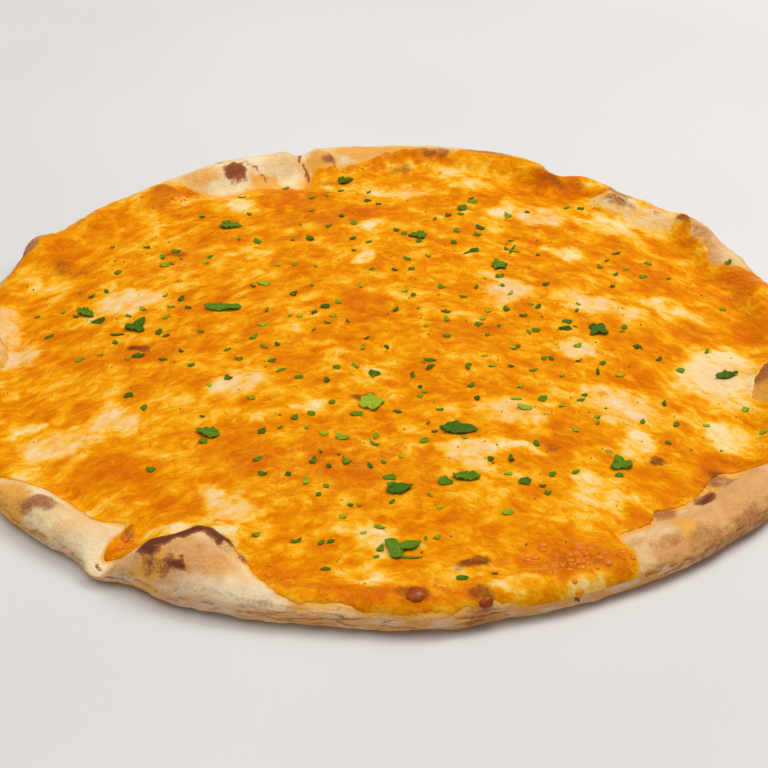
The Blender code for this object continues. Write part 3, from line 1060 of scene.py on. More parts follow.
@dataclass(frozen=True)
class CheeseSurface:
    """The melted cheese's edge, its top and the marks on it, at any points of the plan."""

    form: PizzaForm
    warp_noise: SeededNoise = SeededNoise(21)
    streak_noise: SeededNoise = SeededNoise(22)
    broad_noise: SeededNoise = SeededNoise(23)
    lump_noise: SeededNoise = SeededNoise(24)
    edge_noise: SeededNoise = SeededNoise(25)
    arch_bend: float = 2.6
    outline_margin: float = 0.0006
    edge_runs: tuple = each(
        Swell,
        (84, 9, -0.006), (99, 5, -0.003), (271, 8, 0.0015), (291, 8.5, 0.005), (300, 2, 0.004),
        (235.9, 1.3, 0.01), (104.0, 1.9, -0.0135), (106.0, 1.5, -0.007), (310.6, 1.7, -0.0045),
    )
    edge_waves: tuple = ((0.0075, 0.0012), (0.0028, 0.0007))
    edge_film: float = 0.00015
    edge_bead: tuple = (0.0004, 0.0012)
    edge_relief_reach: float = 0.004
    gap_reach: float = 0.0012
    warp: tuple = (0.011, 0.0042)
    drift_wave: tuple = (0.018, 0.015)
    streak_wave: tuple = (0.009, 0.0058)
    streak_drift: float = 1.8
    streak_contrast: float = 0.95
    broad_wave: tuple = (0.034, 0.026)
    blotch_wave: tuple = (0.013, 0.01)
    lump_wave: tuple = (0.0085, 0.0058)
    simmer_wave: float = 0.0042
    plain_tone: float = 0.45
    cream_tone: float = 0.44
    streak_tone: float = 0.3
    broad_tone: float = 0.28
    deep_tone: float = 0.22
    blotch_tone: float = 0.26
    edge_tone: tuple = (0.12, 0.0025)
    lump_height: float = 0.00055
    tone_height: float = 0.0007
    brown_height: float = 0.0004
    simmer_height: float = 0.0006
    cream: tuple = ovals(
        (-128, 29, 15, 12, 28, 0.8), (-147, 11, 7, 6, 30, 0.7), (-65, -41, 14, 10, 22, 1.0),
        (-32, -59, 9, 6, 10, 0.6), (-54, -68, 6, 5, 10, 0.7), (-118, -70, 13, 11, 20, 0.8),
        (-139, -89, 15, 10, 26, 1.0), (-158, -79, 9, 7, 30, 0.8), (-173, -20, 9, 11, 40, 0.7),
        (-182, 2, 6, 11, 0, 0.7), (-79, 129, 10, 11, 30, 0.8), (12, 146, 17, 6, -4, 0.7),
        (-2, 110, 11, 7, 0, 0.65), (-9, 75, 5, 6, 0, 1.0), (-67, 77, 10, 5, 15, 0.7),
        (66, 125, 7, 8, -20, 0.85), (85, 118, 11, 8, -25, 0.8), (127, 106, 18, 9, -38, 0.8),
        (94, 79, 8, 6, -25, 0.95), (62, 41, 13, 11, -18, 0.75), (108, 26, 20, 9, -28, 0.75),
        (94, -12, 12, 7, -24, 0.8), (156, -37, 17, 23, 0, 1.1), (110, -60, 20, 12, -28, 0.9),
        (59, -64, 14, 9, -15, 0.9), (60, -89, 11, 4, -15, 0.85), (38, -97, 13, 10, -10, 0.9),
        (110, -87, 7, 7, 0, 0.8), (91, -121, 12, 11, -20, 0.75), (-10, -144, 7, 6, 0, 0.7),
        (1, -153, 10, 7, 0, 0.85), (-8, -173, 12, 8, 0, 0.6), (-65, -131, 9, 12, 60, 0.7),
        (-61, -150, 9, 7, 0, 0.85), (-135, 141, 22, 7, 42, 0.75), (51, -183, 9, 4, 12, 0.7),
        (74, -180, 6, 4, 20, 0.8), (140, 20, 13, 8, -30, 0.6), (150, -85, 14, 9, -30, 0.7),
        (-165, 45, 10, 8, 40, 0.6), (-30, 20, 12, 6, 5, 0.45), (20, 40, 14, 7, -5, 0.45),
        (-95, 50, 12, 7, 20, 0.5), (-84, -146, 11, 4, 28, 0.75), (-70, -144, 8, 5, 10, 0.6),
        (137, 117, 24, 7, -42, 1.0), (119, 132, 10, 6, -40, 0.7), (-104, 140, 14, 5, 30, 0.5),
        (-20, 150, 12, 6, 0, 0.6), (22, 176, 20, 5, -4, 0.6), (45, 158, 14, 7, -12, 0.7),
    )
    deep: tuple = ovals(
        (-28, 118, 22, 11, 5, 0.9), (-52, 141, 17, 10, 12, 0.8), (-8, 25, 17, 14, 0, 0.8),
        (-55, 11, 15, 11, 12, 0.7), (-114, -16, 19, 10, 24, 0.9), (-79, -87, 13, 11, 12, 0.7),
        (-118, -111, 22, 9, 28, 0.9), (-83, -128, 10, 8, 10, 0.7), (-16, -101, 17, 10, 0, 0.8),
        (-57, -94, 11, 9, 8, 0.6), (100, 147, 17, 9, -34, 1.0), (138, 59, 15, 9, -35, 0.9),
        (175, 39, 15, 11, -60, 1.0), (149, 2, 14, 10, -30, 0.9), (42, 2, 14, 11, -6, 0.7),
        (77, -87, 11, 9, -14, 0.8), (70, -163, 18, 11, 10, 1.0), (112, -140, 18, 7, 36, 1.0),
        (142, -104, 14, 7, 48, 0.9), (5, -188, 22, 7, 0, 0.9), (-45, -176, 16, 8, -12, 0.8),
        (-115, 135, 20, 8, 42, 0.7), (-165, 78, 12, 9, 60, 0.9), (0, 185, 40, 8, 0, 0.6),
        (178, 5, 12, 16, 0, 0.8), (62, -187, 8, 3, 12, 0.8), (90, -176, 8, 5, 20, 0.8),
        (-108, -158, 5, 9, 30, 0.9), (76, -167, 16, 9, 8, 0.5),
    )
    rose_marks: tuple = ovals(
        (-173, -20, 11, 13, 40, 0.9), (-182, 2, 8, 14, 0, 0.9), (-139, -89, 15, 8, 26, 0.5),
        (-65, -41, 14, 8, 22, 0.5), (85, 118, 11, 8, -25, 0.8), (62, 41, 13, 9, -18, 0.8),
        (-135, 141, 22, 8, 42, 0.8), (156, -37, 14, 12, 0, 0.4), (110, -60, 18, 10, -28, 0.5),
        (76, -166, 18, 9, 8, 0.9), (170, 20, 12, 12, 0, 0.5), (-100, 70, 20, 10, 20, 0.4),
        (-128, 29, 13, 9, 28, 0.6), (94, -12, 12, 6, -24, 0.6), (108, 26, 18, 7, -28, 0.5),
        (38, -97, 10, 8, -10, 0.4), (59, -64, 12, 7, -15, 0.5), (-118, -70, 10, 8, 20, 0.5),
        (137, 117, 20, 6, -42, 0.6), (12, 146, 14, 5, 0, 0.5), (-65, -131, 9, 12, 60, 0.5),
    )
    brown_marks: tuple = ovals(
        (-116, -12, 4.5, 3, 10, 0.95), (-9, -52, 5.5, 3, 0, 0.8), (117, -100, 4, 3.8, 0, 0.85),
        (97, -96, 3, 2.4, 0, 0.55), (-107, 77, 6, 3.4, 5, 0.7), (-157, 57, 6, 3.5, 20, 0.45),
        (75, -89, 3, 2.5, 0, 0.5), (36, -165, 8, 4.2, 4, 0.9), (12, 174, 6, 4, 0, 0.6),
        (-30, 157, 7, 4, 0, 0.45), (-102, -146, 4, 6, 0, 0.65), (13, -188, 5.8, 5.2, 0, 0.8),
        (38.5, -188.5, 5.4, 5.6, 0, 0.75), (76, -166, 16, 8, 8, 0.5), (-163, 61, 8, 6, 60, 0.45),
        (92, 158, 6, 3, -30, 0.5), (141, -114, 6, 5, 0, 0.5), (27, 187, 4, 3, 0, 0.7),
        (35, 186, 4, 3, 0, 0.7), (-30, 179, 4, 3, 0, 0.6), (-120, 137, 9, 4, 35, 0.4),
        (-101, 150, 7, 4, 30, 0.4), (143, -108, 8, 5, -30, 0.7), (127.5, 126.5, 6, 4, -40, 0.62),
        (136, 122, 4, 2, -40, 0.5), (148, 113, 4, 2, -45, 0.5), (161, 101, 5, 4, -55, 0.85),
        (163, 93, 7, 4, -70, 0.6), (163, 84, 6, 3, -75, 0.45),
        (96, 152, 8, 4, -30, 0.65), (109, 151, 7, 3, -38, 0.45),
    )
    gloss_marks: tuple = ovals(
        (76, -166, 22, 12, 8, 1.0), (118, -142, 20, 8, 36, 1.0), (-101, -150, 8, 10, 0, 1.0),
        (10, -185, 36, 10, 0, 1.0), (-115, 135, 22, 9, 42, 0.8), (-20, -105, 40, 20, 0, 0.6),
        (10, 180, 40, 10, 0, 0.8), (175, 40, 12, 20, 0, 0.8),
    )

    def edge_radius(self, angle: Array) -> Array:
        """Return how far out the cheese really runs in each direction, with its small tongues.

        Args:
            angle: directions in degrees.

        Returns:
            One radius for each direction.
        """
        x, y = plan_of(self.form.radius, angle)
        radius = self.form.cheese_radius(angle)
        for run in self.edge_runs:
            radius += run.reach * bell(turn_between(angle, run.angle), run.spread)
        for size, height in self.edge_waves:
            radius += height * self.edge_noise.at(x / size, y / size) * 2.0
        return np.minimum(radius, self.form.outline_radius(angle) - self.outline_margin)

    def bent(self, x: Array, y: Array) -> tuple[Array, Array]:
        """Return points moved a little by noise, so that marks get uneven edges.

        Args:
            x: the points' first plan coordinates.
            y: the points' second plan coordinates.

        Returns:
            The moved points' two plan coordinates.
        """
        size, reach = self.warp
        east = self.warp_noise.layered(x / size, y / size, 0.3, 3)
        north = self.warp_noise.layered(x / size, y / size, 9.7, 3)
        return x + 2.0 * reach * east, y + 2.0 * reach * north

    def streaks(self, x: Array, y: Array) -> Array:
        """Return long soft streaks that run in arches over the plan, 0 to 1.

        Args:
            x: the points' first plan coordinates.
            y: the points' second plan coordinates.

        Returns:
            One strength for each point.
        """
        arched = y + self.arch_bend * x**2
        drift = self.warp_noise.layered(x / self.drift_wave[0], arched / self.drift_wave[1], 4.1, 2)
        along = x / self.streak_wave[0] + drift
        across = arched / self.streak_wave[1] + self.streak_drift * drift
        value = self.streak_noise.layered(along, across, 0.0, 3)
        return np.clip(0.5 + self.streak_contrast * value, 0.0, 1.0)

    def look(self, x: Array, y: Array) -> CheeseLook:
        """Return what the cheese is like at points of the plan.

        Args:
            x: the points' first plan coordinates.
            y: the points' second plan coordinates.

        Returns:
            The height of the top and the strength of every mark.
        """
        radius, angle = polar(x, y)
        inset = np.maximum(0.0, self.edge_radius(angle) - radius)
        bent_x, bent_y = self.bent(x, y)
        streak = self.streaks(x, y)
        arched = y + self.arch_bend * x**2
        broad = self.broad_noise.layered(x / self.broad_wave[0], y / self.broad_wave[1], 0.0, 2)
        cream = marked(self.cream, bent_x, bent_y)
        deep = marked(self.deep, bent_x, bent_y)
        blotch = self.broad_noise.layered(x / self.blotch_wave[0], arched / self.blotch_wave[1], 6.0, 2)
        tone = self.plain_tone + self.cream_tone * cream + self.streak_tone * (streak - 0.5)
        tone = tone + self.broad_tone * broad - self.deep_tone * deep
        tone += self.blotch_tone * blotch + self.edge_tone[0] * bell(inset, self.edge_tone[1])
        rose = marked(self.rose_marks, bent_x, bent_y) * rise(tone, 0.45, 0.8)
        brown = marked(self.brown_marks, 0.5 * (x + bent_x), 0.5 * (y + bent_y))
        gloss = np.clip(marked(self.gloss_marks, bent_x, bent_y) + 0.4 * deep, 0.0, 1.0)
        lumps = self.lump_noise.layered(x / self.lump_wave[0], arched / self.lump_wave[1], 0.0, 4)
        simmer = self.lump_noise.layered(x / self.simmer_wave, y / self.simmer_wave, 5.0, 2)
        relief = self.lump_height * lumps + self.tone_height * (tone - 0.5)
        relief += self.brown_height * brown + self.simmer_height * gloss * simmer
        full = self.form.cheese_thickness + self.form.wave(x, y, self.form.cheese_wave) + relief
        film, (bead, bead_width) = self.edge_film, self.edge_bead
        body = smooth(inset / self.form.cheese_edge_taper)
        thin = film + bead * (1.0 - np.exp(-inset / bead_width))
        thin = thin + relief * rise(inset, 0.0, self.edge_relief_reach)
        thickness = np.maximum(film, thin + (full - film - bead - relief) * body)
        lower = self.form.dough_top(radius, angle) + self.form.gap * rise(inset, 0.0, self.gap_reach)
        return CheeseLook(lower + thickness, tone, rose, brown, gloss)

    def top(self, x: Array, y: Array) -> Array:
        """Return the height of the cheese's top at points of the plan."""
        return self.look(x, y).height


@dataclass(frozen=True)
class CoveredFace:
    """The face between dough and cheese, as rings that thin out towards the middle.

    Attributes:
        surface: the cheese, whose edge the outer ring follows.
        columns: how many vertices the outer ring has.
        rings: each ring's share of the cheese's radius, and one in how many columns it keeps.
    """

    surface: CheeseSurface
    columns: int
    rings: tuple = (
        (1.0, 1), (0.987, 2), (0.97, 4), (0.945, 4), (0.91, 4), (0.86, 4), (0.79, 4),
        (0.7, 4), (0.59, 4), (0.47, 4), (0.34, 4), (0.2, 4),
    )

    def build(self, draft: MeshDraft, lift: float, facing_up: bool, **values: Array) -> Array:
        """Add the face to a mesh under construction.

        Args:
            draft: the mesh under construction.
            lift: how far the face lies above the dough, inside its outer ring.
            facing_up: whether its triangles face up.
            values: the vertex values of its outer ring.

        Returns:
            The vertex numbers of its outer ring.
        """
        numbers = []
        for share, skip in self.rings:
            angle = 360.0 * np.arange(0, self.columns, skip) / self.columns
            radius = share * self.surface.edge_radius(angle)
            height = self.surface.form.dough_top(radius, angle) + (lift if numbers else 0.0)
            x, y = plan_of(radius, angle)
            numbers.append(draft.add(np.stack((x, y, height), 1), **({} if numbers else values)))
        zero = np.zeros(1)
        centre = self.surface.form.dough_top(zero, zero) + lift
        middle = draft.add(np.stack((zero, zero, centre), 1))[0]
        faces = [join(outer, inner) for outer, inner in zip(numbers, numbers[1:])]
        faces.append(fan(numbers[-1], middle))
        for part in faces:
            draft.face(part if facing_up else part[:, ::-1])
        return numbers[0]


@dataclass(frozen=True)
class CheeseLayer:
    """The melted cheese, which stands for the node of the same name.

    Attributes:
        surface: the form and marks of its top.
        rings: how many rings of near equal triangles its top has.
        finish: its finish.
    """

    surface: CheeseSurface
    rings: int = 178
    finish: CheeseFinish = CheeseFinish()

    @property
    def columns(self) -> int:
        """Return how many vertices the edge has."""
        return 6 * self.rings

    def build(self) -> bpy.types.Object:
        """Build the layer as a closed mesh, dress it and set it on the frame.

        Returns:
            The piece.
        """
        form = self.surface.form
        draft = MeshDraft()
        counts = [1] + [6 * ring for ring in range(1, self.rings + 1)]
        share = np.repeat(np.arange(self.rings + 1) / self.rings, counts)
        angle = np.concatenate([360.0 * np.arange(count) / count for count in counts])
        radius = share * self.surface.edge_radius(angle)
        x, y = plan_of(radius, angle)
        look = self.surface.look(x, y)
        draft.add(np.stack((x, y, look.height), 1), **look.marks())
        draft.face(*[self.band(ring) for ring in range(1, self.rings + 1)])
        edge = self.ring_start(self.rings) + np.arange(self.columns)
        lower = CoveredFace(self.surface, self.columns).build(draft, form.gap, facing_up=False)
        draft.face(join(lower, edge))
        piece = draft.piece("melted_cheese", form.middle)
        piece.data.materials.append(self.finish.material())
        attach(piece, "root")
        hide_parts("cheese")
        return piece

    def ring_start(self, ring: int) -> int:
        """Return the number of the first vertex of a ring, where ring 0 is the centre."""
        return 0 if ring == 0 else 1 + 3 * ring * (ring - 1)

    def band(self, ring: int) -> Array:
        """Return the triangles between a ring and the next one inside it.

        Args:
            ring: the outer ring's number, from 1.

        Returns:
            Rows of three vertex numbers.
        """
        sector, step = np.divmod(np.arange(6 * ring), ring)
        outer = self.ring_start(ring)
        inner = self.ring_start(ring - 1)
        inner_count = max(1, 6 * (ring - 1))
        near = outer + sector * ring + step
        far = outer + (sector * ring + step + 1) % (6 * ring)
        below = inner + (sector * (ring - 1) + step) % inner_count
        faces = np.stack((near, far, below), 1)
        kept = step < ring - 1
        beyond = inner + (sector * (ring - 1) + step + 1) % inner_count
        return np.concatenate((faces, np.stack((far, beyond, below), 1)[kept]))


@dataclass(frozen=True)
class DoughMarks:
    """Where the oven, the cheese's oil and the flour marked the bare dough, and where painted shade darkens
    the rim's steep outer side.
    """

    noise: SeededNoise = SeededNoise(41)
    stains: tuple = (
        (Stain.CHAR, ovals(
            (-79, -175.8, 3.8, 2.7, -15, 1.0), (-83.5, 161, 6.6, 5.2, 15, 0.72),
            (134.5, -123.5, 4.5, 3.6, 20, 0.95), (76, -185, 1.0, 0.6, 0, 0.9),
            (-110.3, -166.3, 2.6, 1.0, -60, 0.6),
            (-94, 169, 3, 2.2, 10, 0.8), (-79.5, -170, 0.7, 0.6, 0, 0.9),
            (-77.2, -172.2, 0.9, 0.7, 0, 0.9),
        )),
        (Stain.BROWN, ovals(
            (-138.5, -135.5, 7.2, 4.2, 4, 0.95), (141.5, -112, 7.5, 6, -20, 0.85),
            (115.5, -132, 7, 7, -20, 0.85), (128, -154, 8, 5, 40, 0.6),
            (150, -140, 9, 5.5, 45, 0.6), (112, -158, 8, 4, 30, 0.5), (-65, 152, 6, 5, 0, 0.5),
            (27, 188, 6, 3.5, 0, 0.8), (35, 187, 4.5, 3.5, 0, 0.8), (13, 171, 5, 3.5, 0, 0.55),
            (-31, 181, 3.4, 2.2, 0, 0.9), (63, 186, 15, 5, -16, 0.75), (95, 160, 12, 6, -35, 0.7),
            (128, 134, 14, 7, -45, 0.7), (156, 111, 9, 5, -55, 0.7), (164, 106, 9, 5, -60, 0.6),
            (168, 84, 12, 4, -72, 0.5), (172, -42, 13, 9, 0, 0.95), (-184, 66, 15, 8, 66, 0.85),
            (-182, 79, 8, 6, 62, 0.6), (-74, -172, 15, 8.5, 0, 0.3), (13, -192, 7, 4.5, 0, 0.6),
            (39, -194, 6.5, 4.5, 0, 0.65), (-185, -30, 7, 12, 0, 0.5), (190, -80, 9, 12, 10, 0.55),
        )),
        (Stain.TAN, ovals(
            (-74, -172, 20, 11, 0, 0.7), (120, -158, 18, 10, 40, 0.75), (150, -135, 20, 15, 40, 0.7),
            (-100, -172, 9, 8, 30, 0.6), (-128, -150, 12, 5, 40, 0.35), (173, 82, 15, 22, 0, 0.55),
            (30, -196, 45, 6, 0, 0.6),
        )),
        (Stain.OIL, ovals(
            (-93, -178, 9, 7.5, 30, 0.75), (-152, -130, 8, 11, 30, 0.8), (-101, -160, 6, 6, 0, 0.7),
            (121.5, -148, 4.4, 10, 15, 0.62), (-28, 166, 17, 9, 0, 1.3), (-65, 150, 6, 5, 0, 0.6),
            (150, -108, 6, 5, 0, 0.6), (168, -58, 15, 14, -30, 0.95), (140, 118, 12, 5, -45, 0.45),
            (-66, 160, 8, 5, 0, 1.3), (-100, 156, 9, 5, 30, 0.6), (5, 187, 30, 7, 0, 1.2),
            (-36, 176, 9, 9, 0, 1.2), (112, -136, 9, 4, 40, 0.7), (136, -118, 8, 4, 45, 0.7),
            (-88, -173, 7, 4, -20, 0.9),
            (-64.5, 162, 6, 4, 20, 0.8), (-110, 152, 12, 5, 35, 0.6), (60, 186, 16, 5, -16, 0.7),
        )),
        (Stain.FLOUR, ovals(
            (-118, -155, 20, 10, 38, 0.4), (-60, -186, 30, 6, -10, 0.5),
        )),
    )
    crests: tuple = (
        ScorchLine(
            (
                (-0.088, -0.17), (-0.0905, -0.168), (-0.0885, -0.165), (-0.084, -0.162),
                (-0.079, -0.1595), (-0.0735, -0.156), (-0.068, -0.156), (-0.0625, -0.1585),
            ),
            0.0036, 1.0,
        ),
        ScorchLine(
            (
                (-0.0915, -0.1675), (-0.0925, -0.17), (-0.0915, -0.1722), (-0.089, -0.1742),
                (-0.085, -0.1755), (-0.081, -0.1762),
            ),
            0.0024, 0.42,
        ),
        ScorchLine(
            ((-0.084, 0.164), (-0.0772, 0.169), (-0.071, 0.168), (-0.066, 0.163)),
            0.0008, 0.48,
        ),
        ScorchLine(
            ((-0.049, 0.192), (-0.0465, 0.181), (-0.044, 0.173), (-0.041, 0.165)),
            0.001, 0.62,
        ),
        ScorchLine(
            ((-0.03, 0.183), (-0.0275, 0.175), (-0.031, 0.169)),
            0.0009, 0.48,
        ),
        ScorchLine(
            ((-0.064, -0.1575), (-0.058, -0.161), (-0.052, -0.1625), (-0.049, -0.1635)),
            0.0022, 0.5,
        ),
    )
    toasts: tuple = each(
        Toast,
        (313, 22, 0.5), (20, 30, 0.34), (60, 20, 0.3), (100, 18, 0.16), (158, 14, 0.38),
        (190, 16, 0.3), (276, 18, 0.28), (345, 12, 0.4),
    )
    warp: tuple = (0.0065, 0.0018)
    side_lean: tuple = (0.66, 0.98)
    patch_wave: float = 0.016
    plain_toast: float = 0.12
    patch_toast: float = 0.35
    # how much painted shade, in tan, darkens the rim's steep outer side
    side_shade: float = 0.5
    oil_reach: float = 0.003
    oil_wave: float = 0.01
    flour_wave: tuple = (0.012, 0.004)
    flour_strength: float = 0.6
    crest_line: float = 0.5
    crest_lean: tuple = (0.62, 0.14)
    back_line: float = 0.45
    back_arc: tuple = (88.0, 40.0)

    def scorch(self, crest: ScorchLine, x: Array, y: Array) -> Array:
        """Return how strongly a crest is scorched at points of the plan.

        Args:
            crest: the scorched line.
            x: the points' first plan coordinates.
            y: the points' second plan coordinates.

        Returns:
            One strength for each point.
        """
        nearest = np.full(np.shape(x), 1.0)
        for (x1, y1), (x2, y2) in zip(crest.points, crest.points[1:]):
            east, north = x2 - x1, y2 - y1
            share = np.clip(((x - x1) * east + (y - y1) * north) / (east**2 + north**2), 0.0, 1.0)
            nearest = np.minimum(nearest, np.hypot(x - x1 - share * east, y - y1 - share * north))
        return crest.strength * rise(-nearest, -1.5 * crest.width, -0.4 * crest.width)

    def deepen(self, found: dict[str, Array], kind: Stain, strength: Array) -> None:
        """Raise one kind of stain to a strength wherever it is weaker."""
        found[kind.value] = np.maximum(found[kind.value], strength)

    def at(self, points: Array, inset: Array, lean: Array, angle: Array) -> dict[str, Array]:
        """Return the strength of every kind of stain at points of the dough, the tan one with painted shade
        on the rim's steep outer side.

        Args:
            points: rows of three coordinates.
            inset: how far each point lies outside the cheese's edge.
            lean: how far the surface leans outwards, 0 when it is level and 1 when it is upright.
            angle: each point's direction in degrees.

        Returns:
            An array of strengths under the name of each kind.
        """
        size, reach = self.warp
        x, y, z = points.T
        east = x + 2.0 * reach * self.noise.layered(x / size, y / size, z / size, 3)
        north = y + 2.0 * reach * self.noise.layered(x / size, y / size, 7.7 + z / size, 3)
        found = {kind.value: np.zeros(len(points)) for kind in Stain}
        for kind, marks in self.stains:
            found[kind.value] = marked(marks, east, north)
        for crest in self.crests:
            self.deepen(found, Stain.CHAR, self.scorch(crest, east, north))
        side = rise(lean, *self.side_lean)
        patches = self.noise.layered(*(points.T / self.patch_wave), 3)
        # The tan grows on the rim's steep outer side as painted shade, on top of the real toasting.
        toast_and_side_shade = self.plain_toast + self.patch_toast * patches + self.side_shade * side
        for toasted in self.toasts:
            toast_and_side_shade += toasted.strength * bell(turn_between(angle, toasted.angle), toasted.spread)
        self.deepen(found, Stain.TAN, np.clip(toast_and_side_shade, 0.0, 1.0))
        seeps = self.noise.layered(x / self.oil_wave, y / self.oil_wave, 3.0, 2)
        seep = bell(inset, self.oil_reach) * (0.75 + 0.5 * seeps)
        self.deepen(found, Stain.OIL, seep * (1.0 - 0.8 * side))
        wide, low = self.flour_wave
        dust = side * rise(0.3 + self.noise.layered(x / wide, y / wide, z / low, 3), 0.05, 0.6)
        self.deepen(found, Stain.FLOUR, self.flour_strength * dust)
        back = self.back_line * bell(turn_between(angle, self.back_arc[0]), self.back_arc[1])
        middle, spread = self.crest_lean
        line = (self.crest_line * (0.7 + patches) + back) * bell(lean - middle, spread)
        self.deepen(found, Stain.BROWN, line)
        return found


@dataclass(frozen=True)
class Crust:
    """The baked dough with its uneven rim, which stands for the node of the same name.

    Attributes:
        surface: the cheese that covers it, whose edge it meets.
        columns: how many vertices go round.
        rim_rings: how many rings the bare upper side has.
        side_rings: how many rings run from the widest line down to the floor.
        crest_start: the height from which the highest crests are held down.
        crest_room: how far they may rise above it.
        lump: the wave size and the height of the broad lumps.
        dimple: the wave size and the height of the small dimples.
        crease: the length, the height and the depth of the creases low on the side.
        crease_width: how wide the creases are, as a level of their noise.
        scorch_lift: how far a scorched crest stands up.
        base_rings: the shares of the base's radius where its flat rings lie, and what they skip.
        marks: its stains, and the painted shade on its steep outer side.
        noise: the noise of its relief.
        finish: its finish.
    """

    surface: CheeseSurface
    columns: int
    rim_rings: int = 30
    side_rings: int = 13
    crest_start: float = 0.0186
    crest_room: float = 0.0013
    lump: tuple = (0.017, 0.0011)
    dimple: tuple = (0.0052, 0.0005)
    crease: tuple = (0.016, 0.0024, 0.0011)
    crease_width: float = 0.14
    scorch_lift: float = 0.001
    base_rings: tuple = (
        (0.985, 2), (0.96, 4), (0.9, 4), (0.78, 4), (0.6, 4), (0.4, 4), (0.2, 4),
    )
    marks: DoughMarks = DoughMarks()
    noise: SeededNoise = SeededNoise(42)
    finish: DoughFinish = DoughFinish()

    def rim_grid(self, angle: Array) -> tuple[Array, Array]:
        """Return the rim's smooth form as rings from the cheese's edge to the floor.

        Args:
            angle: the columns' directions in degrees.

        Returns:
            Points by ring and column, and how far each lies outside the cheese's edge.
        """
        form = self.surface.form
        edge = self.surface.edge_radius(angle)
        outline = form.outline_radius(angle)
        turn = np.stack((np.cos(np.radians(angle)), np.sin(np.radians(angle))), 1)
        rows = []
        insets = []
        for ring in range(self.rim_rings + 1):
            radius = edge + (outline - edge) * math.sin(0.5 * math.pi * ring / self.rim_rings)
            height = form.dough_top(radius, angle)
            rows.append(np.column_stack((turn * radius[:, None], height)))
            insets.append(radius - edge)
        for ring in range(1, self.side_rings + 1):
            lean = 0.5 * math.pi * ring / self.side_rings
            radius = outline - form.rim_undercut * (1.0 - math.cos(lean))
            height = form.rim_widest_share * (1.0 - math.sin(lean)) * form.rim_height(angle)
            rows.append(np.column_stack((turn * radius[:, None], height)))
            insets.append(outline - edge + form.rim_widest_share * form.rim_height(angle) - height)
        return np.array(rows), np.array(insets)

    def normals(self, grid: Array) -> Array:
        """Return the outward normals of a grid.

        Args:
            grid: points by ring and column.

        Returns:
            A unit vector for each point.
        """
        down = np.gradient(grid, axis=0)
        round_about = np.roll(grid, -1, axis=1) - np.roll(grid, 1, axis=1)
        normal = np.cross(down, round_about)
        return normal / np.maximum(np.linalg.norm(normal, axis=2, keepdims=True), 1e-12)

    def relief(self, grid: Array, lean: Array) -> Array:
        """Return how far the baked surface stands off the smooth form.

        Args:
            grid: points by ring and column.
            lean: how far the surface leans outwards at each, 0 to 1.

        Returns:
            One distance for each point.
        """
        x, y, z = grid[..., 0], grid[..., 1], grid[..., 2]
        size, height = self.lump
        lumps = height * self.noise.layered(x / size, y / size, z / size, 2)
        size, height = self.dimple
        dimples = height * self.noise.layered(x / size, y / size, 3.0 + z / size, 3)
        angle = np.arctan2(y, x)
        around = angle * self.surface.form.radius
        long, high, depth = self.crease
        folds = np.abs(self.noise.layered(around / long, z / high, 1.7, 3))
        low_side = rise(lean, 0.7, 0.95)
        creases = -depth * low_side * rise(self.crease_width - folds, 0.0, self.crease_width)
        total = lumps + dimples + creases
        for crest in self.marks.crests:
            total += self.scorch_lift * self.marks.scorch(crest, x, y)
        return total

    def build(self) -> bpy.types.Object:
        """Build the crust as a closed mesh, dress it and set it on the frame.

        Returns:
            The piece.
        """
        form = self.surface.form
        draft = MeshDraft()
        angle = 360.0 * np.arange(self.columns) / self.columns
        grid, inset = self.rim_grid(angle)
        outward = self.normals(grid)
        turn = np.radians(angle)
        lean = outward[..., 0] * np.cos(turn) + outward[..., 1] * np.sin(turn)
        fade = rise(inset, 0.0, 0.0035) * rise(grid[..., 2], -0.0002, 0.0022)
        grid = grid + outward * (self.relief(grid, lean) * fade)[..., None]
        above = np.maximum(0.0, grid[..., 2] - self.crest_start)
        held = np.clip(grid[..., 2], 0.0, self.crest_start)
        grid[..., 2] = held + self.crest_room * np.tanh(above / self.crest_room)
        stains = self.marks.at(grid[0], inset[0], lean[0], angle)
        previous = CoveredFace(self.surface, self.columns).build(draft, 0.0, facing_up=True, **stains)
        for ring in range(1, len(grid)):
            stains = self.marks.at(grid[ring], inset[ring], lean[ring], angle)
            following = draft.add(grid[ring], **stains)
            draft.face(join(following, previous))
            previous = following
        foot = grid[-1]
        for share, skip in self.base_rings:
            ring_points = foot[::skip] * np.array((share, share, 0.0))
            following = draft.add(ring_points, tan=0.5, flour=0.2)
            draft.face(join(following, previous))
            previous = following
        middle = draft.add(np.zeros((1, 3)), tan=0.5)[0]
        draft.face(fan(previous, middle)[:, [0, 2, 1]])
        piece = draft.piece("baked_crust", form.middle)
        piece.data.materials.append(self.finish.material())
        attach(piece, "root")
        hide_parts("crust")
        return piece


